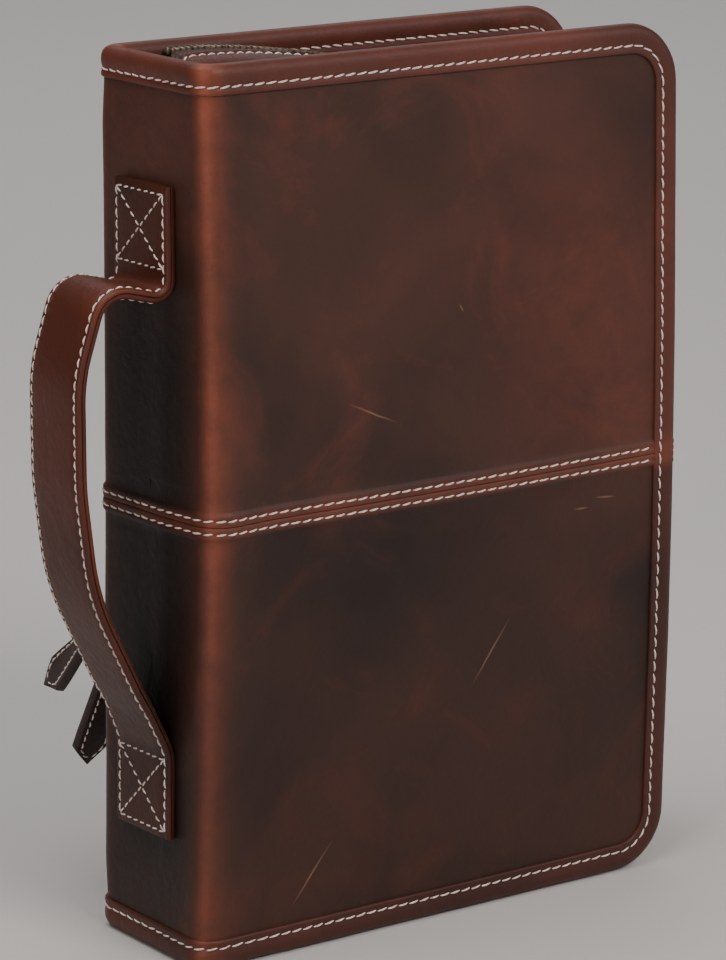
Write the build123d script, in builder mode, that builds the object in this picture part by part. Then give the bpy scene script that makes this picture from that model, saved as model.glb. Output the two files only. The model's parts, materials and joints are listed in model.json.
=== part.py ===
from build123d import *
import os
from math import atan2, cos, radians, sin, sqrt, tan

# A zip-round leather case closed around a Bible, standing on its bottom edge.
# X runs from the spine to the fore edge, Y through the thickness, Z up.
# The origin is on the standing plane, under the middle of the spine's edge binding.

# ---- overall size -------------------------------------------------------------------
HEIGHT = 266.0            # bottom edge to top edge
WIDTH = 172.0             # spine face to fore edge
THICKNESS = 57.0          # over both covers
FOLD_RADIUS = 8.0         # outside of the leather fold between spine and cover
CORNER_RADIUS = 18.0      # fore-edge corners of the covers

# ---- the wall, from the outside in --------------------------------------------------
LEAF = 1.0                # edge binding where it lies on a face
LEATHER = 1.6             # outer panels
BOARD = 2.0               # stiffener
LINING = 0.6
WEB = 1.0                 # edge binding where it wraps the edge
BINDING_WIDTH = 9.5       # how far the binding reaches in from the edge
SEAM_RIDGE = 0.6          # extra height of the turned edges at the middle seam
SEAM_HALF_WIDTH = 3.9
FRONT_BOARD_START = 12.0  # boards stop short of the folds, from the spine face
BACK_BOARD_START = 20.0   # leaves the strip of the pocket zip free
SPINE_BOARD_MARGIN = 10.0
MITRE_GAP = 0.3           # between the parts that turn against each other at a fold

# ---- gusset and main zip ------------------------------------------------------------
TAPE = 0.6
TAPE_REACH = 15.0         # from the middle plane to the hidden edge of the tape
GUSSET = 1.2
GUSSET_EDGE = 8.0         # from the middle plane to the sewn edge of the gusset
ZIP_START = 10.0          # ends of zip and gusset, from the spine face
TOP_RECESS = 10.0         # zip below the top edge
FORE_RECESS = 10.0
BOTTOM_RECESS = 10.0
HUMP_BEND = 48.0
HUMP = 8.2                # rise of the zip near the spine at the top
HUMP_LENGTH = 18.0
HUMP_SLOPE = 30.0
TOOTH_PITCH = 2.8
TOOTH_LENGTH = 1.5        # along the zip
TOOTH_DEPTH = 2.4         # across the zip
TOOTH_HALF_HEIGHT = 1.1
ROW_GAP = 0.8             # between the two rows of teeth

# ---- sliders and pulls --------------------------------------------------------------
SLIDER_LENGTH = 11.0
SLIDER_PLATE = 1.1
SLIDER_CLEARANCE = 0.3
SLIDER_CORNER = 0.3       # shares of a slider's length: plate corners,
POST_PLACE = 0.35         # middle of the divider from the middle of the slider,
POST_LENGTH = 0.2         # the divider,
LIP_LENGTH = 0.4          # and each lip
LIP = 1.0
TAPE_SLOT = 1.4
POST = 0.4                # divider between the rows
BAIL_HALF_WIDTH = 1.1
BAIL_RIM = 0.8            # metal around the bail's hole
RING_BAR = 1.5
RING_INSIDE = 7.4         # inner width of the ring
RING_LENGTH = 8.0         # from bar to bar, centre to centre
RING_HOLE = 2.4           # hole that the ring turns in
PULL_THICKNESS = 3.3      # two plies of leather
PULL_NECK = 6.4
PULL_SHOULDER = 2.0       # length over which the neck widens
PULL_WIDTH = 10.5
PULL_END_WIDTH = 12.0
PULL_TIP = 7.5            # length of the pointed end
MAIN_SLIDER_AT = 18.0     # middle of the parked slider, from the spine face
MAIN_PIVOT_DROP = 4.6     # zip to the pull's pivot
MAIN_PULL_LENGTH = 44.0

# ---- pocket zip on the back cover ---------------------------------------------------
POCKET_ZIP_AT = 12.5      # from the spine face
POCKET_BOTTOM = 58.0
POCKET_TOP = 232.0
POCKET_WINDOW = 7.0
POCKET_WINDOW_FLAT = 0.1    # keeps the slot's ends just short of half circles
POCKET_TAPE_REACH = 7.0
POCKET_TOOTH_HALF = 0.8
POCKET_TOOTH_DEPTH = 1.8
POCKET_PITCH = 2.0
POCKET_TOOTH_LENGTH = 1.1
POCKET_SLIDER_LENGTH = 9.0
POCKET_PLATE = 0.6
POCKET_CLEARANCE = 0.15
POCKET_LIP = 0.6
POCKET_TAPE_SLOT = 0.9
POCKET_STOP = 2.0
POCKET_STOP_GAP = 0.2       # between a stop and the first tooth
POCKET_STOP_MARGIN = 1.2  # stops inside the rounded ends of the slot
UPPER_SLIDER_Z = 100.5
LOWER_SLIDER_Z = 91.0
POCKET_PIVOT_HEIGHT = 4.9  # tape to the pull's pivot
POCKET_PULL_LENGTH = 61.0
UPPER_PULL_ANGLE = 50.0   # out from hanging straight down
LOWER_PULL_ANGLE = 29.0

# ---- handle -------------------------------------------------------------------------
STRAP_WIDTH = 25.0
STRAP_PLY = 1.65
STRAP_TOP = 232.0         # ends of the sewn patches
STRAP_BOTTOM = 34.0
FLEX_LINE = 9.0           # line outside the spine face about which the arch swings
FLEX_ANGLE = 22.0
FLEX_GAP = 0.15

# ---- inside pieces ------------------------------------------------------------------
SLEEVE = 1.0
SLEEVE_START = 14.0
SLEEVE_CLEARANCE = 0.5    # between the sleeve's edge and the edge binding
SLEEVE_DEPTH = 2.8        # room for a book board
BOOK_BOARD = 2.4
BOOK_BOARD_PLAY = 0.2
BOOK_BOARD_START = 12.0
BOOK_BOARD_FORE_GAP = 18.0  # from the cover's fore edge
BOOK_BOARD_CORNER = 5.0
BOOK_BOTTOM = 14.0        # clear of the slider on the bottom run
BOOK_TOP_GAP = 15.0
BOOK_SPINE = 2.2
PAGE_FORE_GAP = 22.0
BOARD_OVERHANG = 2.0      # book boards past the pages, above and below
PAGE_GAP = 0.3            # pages to sleeves
FLYLEAF = 0.2
HEADBAND = 1.8
RIBBON_WIDTH = 6.0
RIBBON = 0.4
RIBBON_AT = 34.0
RIBBON_TAIL = 1.6
RIBBON_Y = 6.0
SLOT_PLAY = 0.2

# ---- worked out ---------------------------------------------------------------------
RIM = LEAF + LEATHER + BOARD + LINING + LEAF
SPINE_X = -RIM / 2
FORE_X = SPINE_X + WIDTH
HALF = THICKNESS / 2
MIDDLE_Z = HEIGHT / 2
LEATHER_IN = LEAF + LEATHER
BOARD_IN = LEATHER_IN + BOARD
LINING_IN = BOARD_IN + LINING
SLEEVE_NEAR = LINING_IN + SLEEVE_DEPTH
SLEEVE_IN = SLEEVE_NEAR + SLEEVE
REACH = 20.0              # how far cutting shapes pass the object
SIDES = {"front": -1, "back": 1}

os.makedirs("parts", exist_ok=True)


def save(block, name):
    """Label a finished piece and write it to its own file."""
    block.part.label = name
    export_step(block.part, f"parts/{name}.step")


def case_plan(depth):
    """The case seen from above at a depth below its outer face, running past the fore edge."""
    with BuildSketch() as plan:
        with Locations((SPINE_X + depth, 0)):
            Rectangle(WIDTH + REACH, THICKNESS - 2 * depth, align=(Align.MIN, Align.CENTER))
        fillet(plan.vertices().group_by(Axis.X)[0], FOLD_RADIUS - depth)
    return plan.sketch


def cover_plan(side):
    """The part of the plan that turns with a cover, past the mitre line of its fold."""
    shift = MITRE_GAP / sqrt(2)
    with BuildSketch() as plan:
        with BuildLine():
            Polyline(
                (SPINE_X - REACH, side * (HALF + REACH + shift)),
                (SPINE_X + HALF + shift, 0),
                (FORE_X + REACH, 0),
                (FORE_X + REACH, side * (HALF + REACH + shift)),
                close=True,
            )
        make_face()
    return plan.sketch


def spine_plan():
    """The part of the plan that belongs to the spine, between the two mitre lines."""
    shift = MITRE_GAP / sqrt(2)
    with BuildSketch() as plan:
        with BuildLine():
            Polyline(
                (SPINE_X - REACH, HALF + REACH - shift),
                (SPINE_X + HALF - shift, 0),
                (SPINE_X - REACH, -HALF - REACH + shift),
                close=True,
            )
        make_face()
    return plan.sketch


def cover_face(inset):
    """Face outline of a cover, inset from its edges and running past the spine."""
    width = WIDTH + REACH - inset
    with BuildSketch() as face:
        with Locations((FORE_X - inset, MIDDLE_Z)):
            Rectangle(width, HEIGHT - 2 * inset, align=(Align.MAX, Align.CENTER))
        fillet(face.vertices().group_by(Axis.X)[-1], CORNER_RADIUS - inset)
    return face.sketch


def wall(region, near, far, inset):
    """A layer of the wall between two depths, cut to the face outline at an inset."""
    with BuildPart() as layer:
        with BuildSketch(Plane.XY):
            add(case_plan(near))
            add(case_plan(far), mode=Mode.SUBTRACT)
            add(region, mode=Mode.INTERSECT)
        extrude(amount=HEIGHT)
        with BuildSketch(Plane.XZ):
            add(cover_face(inset))
        extrude(amount=THICKNESS, both=True, mode=Mode.INTERSECT)
    return layer.part


def band(low, high, start, end):
    """A slab from one height to another and from one distance behind the spine face to another."""
    with BuildPart() as slab:
        with Locations((SPINE_X + start, 0, low)):
            Box(end - start, 2 * THICKNESS, high - low, align=(Align.MIN, Align.CENTER, Align.MIN))
    return slab.part


def binding(region):
    """The folded strip that wraps the edge of a wall, as one U-shaped section."""
    with BuildPart() as strip:
        add(wall(region, 0, RIM, 0))
        add(wall(region, LEAF, RIM - LEAF, WEB), mode=Mode.SUBTRACT)
        with BuildSketch(Plane.XZ):
            add(cover_face(BINDING_WIDTH))
        extrude(amount=THICKNESS, both=True, mode=Mode.SUBTRACT)
    return strip.part


def leather_panel(region, upper):
    """One outer panel, from the middle seam to the edge, with its turned seam edge."""
    low, high = (MIDDLE_Z, HEIGHT) if upper else (0, MIDDLE_Z)
    ridge_low = MIDDLE_Z if upper else MIDDLE_Z - SEAM_HALF_WIDTH
    with BuildPart() as ridge:
        add(wall(region, LEAF - SEAM_RIDGE, LEAF, BINDING_WIDTH))
        add(band(ridge_low, ridge_low + SEAM_HALF_WIDTH, -REACH, WIDTH), mode=Mode.INTERSECT)
    with BuildPart() as panel:
        add(wall(region, LEAF, LEATHER_IN, WEB))
        add(band(low, high, -REACH, WIDTH), mode=Mode.INTERSECT)
        add(ridge.part)
    return panel.part


def pocket_window(extra):
    """The slot for the pocket zip in the back panels, grown by a margin all round."""
    with BuildPart() as window:
        with BuildSketch(Plane.XZ):
            with Locations((SPINE_X + POCKET_ZIP_AT, (POCKET_BOTTOM + POCKET_TOP) / 2)):
                RectangleRounded(
                    POCKET_WINDOW + 2 * extra,
                    POCKET_TOP - POCKET_BOTTOM + 2 * extra,
                    POCKET_WINDOW / 2 - POCKET_WINDOW_FLAT,
                )
        extrude(amount=-THICKNESS)
    return window.part


# ---- spine --------------------------------------------------------------------------
# The outer leather runs over the spine in an upper and a lower panel, with a board and a
# lining behind it and an edge binding at the top and the bottom.
SPINE = spine_plan()

with BuildPart() as spine_leather_upper:
    add(leather_panel(SPINE, True))
save(spine_leather_upper, "spine_leather_upper")

with BuildPart() as spine_leather_lower:
    add(leather_panel(SPINE, False))
save(spine_leather_lower, "spine_leather_lower")

with BuildPart() as spine_board:
    with Locations((SPINE_X + LEATHER_IN, 0, WEB)):
        Box(
            BOARD,
            THICKNESS - 2 * SPINE_BOARD_MARGIN,
            HEIGHT - 2 * WEB,
            align=(Align.MIN, Align.CENTER, Align.MIN),
        )
save(spine_board, "spine_board")

with BuildPart() as spine_lining:
    add(wall(SPINE, BOARD_IN, LINING_IN, WEB))
save(spine_lining, "spine_lining")

with BuildPart() as spine_binding_top:
    add(binding(SPINE))
    add(band(MIDDLE_Z, HEIGHT, -REACH, WIDTH), mode=Mode.INTERSECT)
save(spine_binding_top, "spine_binding_top")

with BuildPart() as spine_binding_bottom:
    add(binding(SPINE))
    add(band(0, MIDDLE_Z, -REACH, WIDTH), mode=Mode.INTERSECT)
save(spine_binding_bottom, "spine_binding_bottom")


# ---- covers -------------------------------------------------------------------------
# Each cover has the same wall as the spine. The back panels have a slot for the pocket zip.
for side_name, side in SIDES.items():
    region = cover_plan(side)
    board_start = FRONT_BOARD_START if side_name == "front" else BACK_BOARD_START

    for level, upper in (("upper", True), ("lower", False)):
        with BuildPart() as cover_leather:
            add(leather_panel(region, upper))
            if side_name == "back":
                add(pocket_window(0), mode=Mode.SUBTRACT)
        save(cover_leather, f"{side_name}_leather_{level}")

    with BuildPart() as cover_board:
        add(wall(region, LEATHER_IN, BOARD_IN, WEB))
        add(band(0, HEIGHT, board_start, WIDTH), mode=Mode.INTERSECT)
    save(cover_board, f"{side_name}_board")

    with BuildPart() as cover_lining:
        add(wall(region, BOARD_IN, LINING_IN, WEB))
    save(cover_lining, f"{side_name}_lining")

    with BuildPart() as cover_binding:
        add(binding(region))
    save(cover_binding, f"{side_name}_binding")


# ---- sleeves ------------------------------------------------------------------------
# A leather sheet inside each cover, closed on three edges and open towards the spine,
# that holds a board of the book.
def sleeve_outline(inset):
    """Outline of the sleeve on the cover's face, inset from its sewn edges."""
    edge = BINDING_WIDTH + SLEEVE_CLEARANCE + inset
    with BuildSketch() as outline:
        with Locations((FORE_X - edge, MIDDLE_Z)):
            Rectangle(
                WIDTH - edge - SLEEVE_START, HEIGHT - 2 * edge, align=(Align.MAX, Align.CENTER)
            )
        fillet(outline.vertices().group_by(Axis.X)[-1], CORNER_RADIUS - edge)
    return outline.sketch


for side_name, side in SIDES.items():
    with BuildPart() as sleeve:
        with BuildSketch(Plane.XZ.offset(-side * (HALF - SLEEVE_IN))):
            add(sleeve_outline(0))
        extrude(amount=-side * (SLEEVE_IN - LINING_IN))
        with BuildSketch(Plane.XZ.offset(-side * (HALF - SLEEVE_NEAR))):
            add(sleeve_outline(SLEEVE))
        extrude(amount=-side * SLEEVE_DEPTH, mode=Mode.SUBTRACT)
    save(sleeve, f"{side_name}_sleeve")


# ---- gusset and main zip ------------------------------------------------------------
# A leather gusset runs round three edges inside each cover's rim. A zip tape is sewn under
# its free edge and carries a row of metal teeth. Both end inside the case at the spine.
def zip_route(offset):
    """The zip's line seen from the side, moved outwards by an offset."""
    start = SPINE_X + ZIP_START
    fore = FORE_X - FORE_RECESS + offset
    low = BOTTOM_RECESS - offset
    high = HEIGHT - TOP_RECESS + offset
    corner = CORNER_RADIUS - FORE_RECESS + offset
    hump_shift = offset * tan(atan2(HUMP, HUMP_SLOPE) / 2)  # keeps the sloped run parallel
    hump_end = start + HUMP_LENGTH + hump_shift
    with BuildLine() as route:
        FilletPolyline(
            (start, low),
            (fore, low),
            (fore, high),
            (hump_end + HUMP_SLOPE, high),
            (hump_end, high + HUMP),
            (start, high + HUMP),
            radius=[corner, corner, HUMP_BEND - offset, HUMP_BEND + offset],
        )
    return route.line


def ribbon(side, offset, thickness, near, far):
    """A band that follows the zip's line, between two distances from the middle plane."""
    with BuildPart() as strip:
        with BuildSketch(Plane.XZ.offset(-side * near)):
            with BuildLine():
                add(zip_route(offset))
            trace(line_width=thickness)
        extrude(amount=-side * (far - near))
    return strip.part


tooth_near = ROW_GAP / 2
tooth_far = tooth_near + TOOTH_DEPTH
teeth_from = MAIN_SLIDER_AT - ZIP_START + SLIDER_LENGTH / 2 + TOOTH_PITCH
zip_wire = Wire(zip_route(0).edges())
tooth_count = int((zip_wire.length - teeth_from) / TOOTH_PITCH)
tooth_planes = []
for index in range(tooth_count):
    along = teeth_from + (index + 0.5) * TOOTH_PITCH
    place = zip_wire.position_at(along, position_mode=PositionMode.LENGTH)
    run = zip_wire.tangent_at(along, position_mode=PositionMode.LENGTH)
    tooth_planes.append(Plane(origin=(place.X, 0, place.Y), x_dir=(run.X, 0, run.Y), z_dir=(0, 1, 0)))

for side_name, side in SIDES.items():
    with BuildPart() as gusset:
        add(ribbon(side, (TAPE + GUSSET) / 2, GUSSET, GUSSET_EDGE, HALF - RIM))
    save(gusset, f"{side_name}_gusset")

    with BuildPart() as zip_tape:
        add(ribbon(side, 0, TAPE, tooth_far, TAPE_REACH))
    save(zip_tape, f"{side_name}_zip_tape")

    with BuildPart() as zip_teeth:
        with Locations(*[plane.offset(side * (tooth_near + TOOTH_DEPTH / 2)) for plane in tooth_planes]):
            Box(TOOTH_LENGTH, 2 * TOOTH_HALF_HEIGHT, TOOTH_DEPTH)
    save(zip_teeth, f"{side_name}_zip_teeth")


# ---- sliders and pulls --------------------------------------------------------------
# A slider is two plates joined by a divider between the rows of teeth, with lips that keep
# the rows in and a bail on the outer plate. A ring hangs in the bail, and a tab of two
# sewn plies of leather hangs on the ring.
def slider_body(plane, length, half_tooth, row_far, plate, clearance, lip, slot, pivot_height):
    """A slider at a plane whose X runs along the zip and whose Z points outwards."""
    inside = half_tooth + clearance
    half_width = row_far + clearance + lip
    with BuildPart() as body:
        with BuildSketch(plane.offset(inside)):
            RectangleRounded(length, 2 * half_width, SLIDER_CORNER * length)
        extrude(amount=plate)
        with BuildSketch(plane.offset(-inside)):
            RectangleRounded(length, 2 * half_width, SLIDER_CORNER * length)
        extrude(amount=-plate)
        with Locations(plane * Location((POST_PLACE * length, 0, 0))):
            Box(POST_LENGTH * length, POST, 2 * inside)
        for edge in (-1, 1):
            for face in (-1, 1):
                lip_height = inside - slot / 2
                middle = face * (slot / 2 + lip_height / 2)
                with Locations(plane * Location((0, edge * (half_width - lip / 2), middle))):
                    Box(LIP_LENGTH * length, lip, lip_height)
        bail_top = pivot_height + RING_HOLE / 2 + BAIL_RIM
        bail_height = bail_top - inside - plate
        with Locations(plane * Location((0, 0, inside + plate + bail_height / 2))):
            Box(RING_HOLE + 2 * BAIL_RIM, 2 * BAIL_HALF_WIDTH, bail_height)
        with Locations(plane * Location((0, 0, pivot_height), (90, 0, 0))):
            Cylinder(RING_HOLE / 2, 4 * BAIL_HALF_WIDTH, mode=Mode.SUBTRACT)
    return body.part


def pull_ring(plane):
    """The ring, with its near bar on the pivot and its far bar in the tab."""
    with BuildPart() as ring:
        with BuildSketch(plane):
            with Locations((0, RING_LENGTH / 2)):
                RectangleRounded(RING_INSIDE + 2 * RING_BAR, RING_LENGTH + RING_BAR, RING_BAR)
                RectangleRounded(
                    RING_INSIDE, RING_LENGTH - RING_BAR, RING_BAR / 2, mode=Mode.SUBTRACT
                )
        extrude(amount=RING_BAR / 2, both=True)
    return ring.part


def pull_tab(plane, length):
    """The leather tab, from its loop around the ring to its pointed end."""
    loop = RING_HOLE / 2 + STRAP_PLY
    shoulder = RING_LENGTH + RING_BAR / 2 + 1.5 * STRAP_PLY
    with BuildPart() as tab:
        with BuildSketch(plane):
            with BuildLine():
                Polyline(
                    (-PULL_NECK / 2, RING_LENGTH - loop),
                    (-PULL_NECK / 2, shoulder),
                    (-PULL_WIDTH / 2, shoulder + PULL_SHOULDER),
                    (-PULL_END_WIDTH / 2, length - PULL_TIP),
                    (0, length),
                    (PULL_END_WIDTH / 2, length - PULL_TIP),
                    (PULL_WIDTH / 2, shoulder + PULL_SHOULDER),
                    (PULL_NECK / 2, shoulder),
                    (PULL_NECK / 2, RING_LENGTH - loop),
                    close=True,
                )
            make_face()
        extrude(amount=PULL_THICKNESS / 2, both=True)
        with Locations(plane * Location((0, RING_LENGTH, 0), (0, 90, 0))):
            Cylinder(RING_HOLE / 2, 2 * PULL_WIDTH, mode=Mode.SUBTRACT)
    return tab.part


main_place = Plane(
    origin=(SPINE_X + MAIN_SLIDER_AT, 0, BOTTOM_RECESS), x_dir=(1, 0, 0), z_dir=(0, 0, -1)
)
with BuildPart() as main_slider:
    add(
        slider_body(
            main_place,
            SLIDER_LENGTH,
            TOOTH_HALF_HEIGHT,
            tooth_far,
            SLIDER_PLATE,
            SLIDER_CLEARANCE,
            LIP,
            TAPE_SLOT,
            MAIN_PIVOT_DROP,
        )
    )
save(main_slider, "main_slider")

# the pull of the main slider lies in the bottom recess and points to the fore edge
main_pull_plane = Plane(
    origin=(SPINE_X + MAIN_SLIDER_AT, 0, BOTTOM_RECESS - MAIN_PIVOT_DROP),
    x_dir=(0, 1, 0),
    z_dir=(0, 0, -1),
)
with BuildPart() as main_pull_ring:
    add(pull_ring(main_pull_plane))
save(main_pull_ring, "main_pull_ring")

with BuildPart() as main_pull_tab:
    add(pull_tab(main_pull_plane, MAIN_PULL_LENGTH))
save(main_pull_tab, "main_pull_tab")


# ---- pocket zip ---------------------------------------------------------------------
# The back panels form a flat pocket in front of the board. Its zip stands upright beside
# the fold, with two sliders that meet head to head.
pocket_x = SPINE_X + POCKET_ZIP_AT
pocket_y = HALF - LEATHER_IN - TAPE / 2
pocket_tooth_near = ROW_GAP / 2
pocket_tooth_far = pocket_tooth_near + POCKET_TOOTH_DEPTH
pocket_middle = (POCKET_BOTTOM + POCKET_TOP) / 2
pocket_length = POCKET_TOP - POCKET_BOTTOM
spine_side_reach = POCKET_ZIP_AT - FOLD_RADIUS

with BuildPart() as pocket_zip_tapes:
    for row, reach in ((-1, spine_side_reach), (1, POCKET_TAPE_REACH)):
        width = reach - pocket_tooth_far
        with Locations((pocket_x + row * (pocket_tooth_far + width / 2), pocket_y, pocket_middle)):
            Box(width, TAPE, pocket_length + 2 * POCKET_STOP)
save(pocket_zip_tapes, "pocket_zip_tapes")

pocket_teeth_length = pocket_length - 2 * (POCKET_STOP + POCKET_STOP_MARGIN)
pocket_tooth_count = int(pocket_teeth_length / POCKET_PITCH)
with BuildPart() as pocket_zip_teeth:
    for row in (-1, 1):
        row_x = pocket_x + row * (pocket_tooth_near + POCKET_TOOTH_DEPTH / 2)
        with Locations(
            *[
                (row_x, pocket_y, pocket_middle + (index - (pocket_tooth_count - 1) / 2) * POCKET_PITCH)
                for index in range(pocket_tooth_count)
            ]
        ):
            Box(POCKET_TOOTH_DEPTH, 2 * POCKET_TOOTH_HALF, POCKET_TOOTH_LENGTH)
save(pocket_zip_teeth, "pocket_zip_teeth")

with BuildPart() as pocket_zip_stops:
    stop_reach = pocket_length / 2 - POCKET_STOP_MARGIN - POCKET_STOP / 2
    for stop_z in (pocket_middle - stop_reach, pocket_middle + stop_reach):
        with Locations((pocket_x, pocket_y, stop_z)):
            Box(2 * pocket_tooth_far, 2 * POCKET_TOOTH_HALF, POCKET_STOP - POCKET_STOP_GAP)
save(pocket_zip_stops, "pocket_zip_stops")

for level, height, angle, heading in (
    ("upper", UPPER_SLIDER_Z, UPPER_PULL_ANGLE, 1),
    ("lower", LOWER_SLIDER_Z, LOWER_PULL_ANGLE, -1),
):
    slider_place = Plane(
        origin=(pocket_x, pocket_y, height), x_dir=(0, 0, heading), z_dir=(0, 1, 0)
    )
    with BuildPart() as pocket_slider:
        add(
            slider_body(
                slider_place,
                POCKET_SLIDER_LENGTH,
                POCKET_TOOTH_HALF,
                pocket_tooth_far,
                POCKET_PLATE,
                POCKET_CLEARANCE,
                POCKET_LIP,
                POCKET_TAPE_SLOT,
                POCKET_PIVOT_HEIGHT,
            )
        )
    save(pocket_slider, f"{level}_pocket_slider")

    pull_plane = Plane(
        origin=(pocket_x, pocket_y + POCKET_PIVOT_HEIGHT, height),
        x_dir=(1, 0, 0),
        z_dir=(0, cos(radians(angle)), sin(radians(angle))),
    )
    with BuildPart() as pocket_ring:
        add(pull_ring(pull_plane))
    save(pocket_ring, f"{level}_pull_ring")

    with BuildPart() as pocket_tab:
        add(pull_tab(pull_plane, POCKET_PULL_LENGTH))
    save(pocket_tab, f"{level}_pull_tab")


# ---- handle -------------------------------------------------------------------------
# A strap of two plies is sewn flat on the spine at both ends and stands off it between
# them: it turns out sharply under the upper patch and comes back gently to the lower one.
patch_x = SPINE_X + LEAF - STRAP_PLY
arch_x = SPINE_X - 30.8
STRAP_ROUTE = [
    (patch_x, STRAP_TOP),
    (patch_x, 197.6),
    (SPINE_X - 22.5, 203.2),
    (arch_x, 178.0),
    (arch_x, 146.0),
    (SPINE_X - 27.0, 112.0),
    (SPINE_X - 12.0, 80.0),
    (patch_x, 60.0),
    (patch_x, STRAP_BOTTOM),
]
STRAP_RADII = [4.5, 9.0, 45.0, 90.0, 70.0, 60.0, 12.0]


def strap_line():
    """The strap's middle line seen from the side."""
    with BuildLine() as line:
        FilletPolyline(*STRAP_ROUTE, radius=STRAP_RADII)
    return line.line


def strap_ply(outer):
    """One ply of the strap over its whole length."""
    far = SPINE_X + 2 * REACH
    with BuildPart() as ply:
        with BuildSketch(Plane.XZ):
            with BuildLine():
                add(strap_line())
            trace(line_width=2 * STRAP_PLY)
            with BuildSketch(mode=Mode.PRIVATE) as spine_side:
                with BuildLine():
                    add(strap_line())
                    Polyline(
                        (patch_x, STRAP_BOTTOM),
                        (patch_x, STRAP_BOTTOM - REACH),
                        (far, STRAP_BOTTOM - REACH),
                        (far, STRAP_TOP + REACH),
                        (patch_x, STRAP_TOP + REACH),
                        (patch_x, STRAP_TOP),
                    )
                make_face()
            add(spine_side.sketch, mode=Mode.SUBTRACT if outer else Mode.INTERSECT)
        extrude(amount=STRAP_WIDTH / 2, both=True)
    return ply.part


def flex_cut(slope, start):
    """Everything from the flex line towards the spine, with sides that slope away from it."""
    half = STRAP_WIDTH
    with BuildPart() as cut:
        with BuildSketch(Plane.XY):
            with BuildLine():
                Polyline(
                    (start, 0),
                    (start - half * tan(radians(slope)), half),
                    (SPINE_X + REACH, half),
                    (SPINE_X + REACH, -half),
                    (start - half * tan(radians(slope)), -half),
                    close=True,
                )
            make_face()
        extrude(amount=HEIGHT)
    return cut.part


flex_x = SPINE_X - FLEX_LINE
for ply_name, outer in (("outer", True), ("inner", False)):
    with BuildPart() as strap_ends:
        add(strap_ply(outer))
        add(flex_cut(0, flex_x + FLEX_GAP), mode=Mode.INTERSECT)
    save(strap_ends, f"handle_ends_{ply_name}")

    with BuildPart() as strap_arch:
        add(strap_ply(outer))
        add(flex_cut(FLEX_ANGLE, flex_x - FLEX_GAP), mode=Mode.SUBTRACT)
    save(strap_arch, f"handle_arch_{ply_name}")


# ---- the book -----------------------------------------------------------------------
# The boards sit in the sleeves. The pages and the spine piece stand against the lining of
# the case's spine, with a band at the head and the foot and a ribbon between the pages.
book_height = HEIGHT - BOOK_BOTTOM - BOOK_TOP_GAP

for side_name, side in SIDES.items():
    board_middle = HALF - LINING_IN - BOOK_BOARD_PLAY - BOOK_BOARD / 2
    board_height = book_height + 2 * BOARD_OVERHANG
    with BuildPart() as book_board:
        with Locations((SPINE_X + BOOK_BOARD_START, side * board_middle, BOOK_BOTTOM - BOARD_OVERHANG)):
            Box(
                WIDTH - BOOK_BOARD_FORE_GAP - BOOK_BOARD_START,
                BOOK_BOARD,
                board_height,
                align=(Align.MIN, Align.CENTER, Align.MIN),
            )
        fillet(book_board.edges().filter_by(Axis.Y).group_by(Axis.X)[-1], BOOK_BOARD_CORNER)
    save(book_board, f"book_{side_name}_board")

page_half = HALF - SLEEVE_IN - PAGE_GAP - FLYLEAF
book_spine_x = SPINE_X + LINING_IN
page_x = book_spine_x + BOOK_SPINE

with BuildPart() as book_spine:
    with Locations((book_spine_x, 0, BOOK_BOTTOM - BOARD_OVERHANG)):
        Box(
            BOOK_SPINE,
            2 * page_half,
            book_height + 2 * BOARD_OVERHANG,
            align=(Align.MIN, Align.CENTER, Align.MIN),
        )
save(book_spine, "book_spine")

with BuildPart() as book_pages:
    with Locations((page_x, 0, BOOK_BOTTOM)):
        Box(
            FORE_X - PAGE_FORE_GAP - page_x,
            2 * page_half,
            book_height,
            align=(Align.MIN, Align.CENTER, Align.MIN),
        )
    with Locations((SPINE_X + RIBBON_AT, RIBBON_Y, BOOK_BOTTOM)):
        Box(
            RIBBON_WIDTH + SLOT_PLAY,
            RIBBON + SLOT_PLAY,
            book_height,
            align=(Align.CENTER, Align.CENTER, Align.MIN),
            mode=Mode.SUBTRACT,
        )
save(book_pages, "book_pages")

with BuildPart() as flyleaves:
    for side in SIDES.values():
        with Locations((page_x, side * (page_half + FLYLEAF / 2), BOOK_BOTTOM)):
            Box(
                FORE_X - PAGE_FORE_GAP - page_x,
                FLYLEAF,
                book_height,
                align=(Align.MIN, Align.CENTER, Align.MIN),
            )
save(flyleaves, "book_flyleaves")

with BuildPart() as headbands:
    for band_z in (BOOK_BOTTOM - HEADBAND / 2, BOOK_BOTTOM + book_height + HEADBAND / 2):
        with Locations((page_x + HEADBAND / 2, 0, band_z)):
            Box(HEADBAND, 2 * page_half, HEADBAND)
save(headbands, "book_headbands")

with BuildPart() as ribbon_marker:
    with Locations((SPINE_X + RIBBON_AT, RIBBON_Y, BOOK_BOTTOM - RIBBON_TAIL)):
        Box(
            RIBBON_WIDTH,
            RIBBON,
            book_height + RIBBON_TAIL,
            align=(Align.CENTER, Align.CENTER, Align.MIN),
        )
save(ribbon_marker, "book_ribbon")
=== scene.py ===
# A zip-round leather Bible case that stands closed on its foot, with its book inside: the looks
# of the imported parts, in their own frame and in metres.
import json
import math
import random

import bmesh
import bpy
import numpy as np
from mathutils import Matrix, Vector, noise


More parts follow.
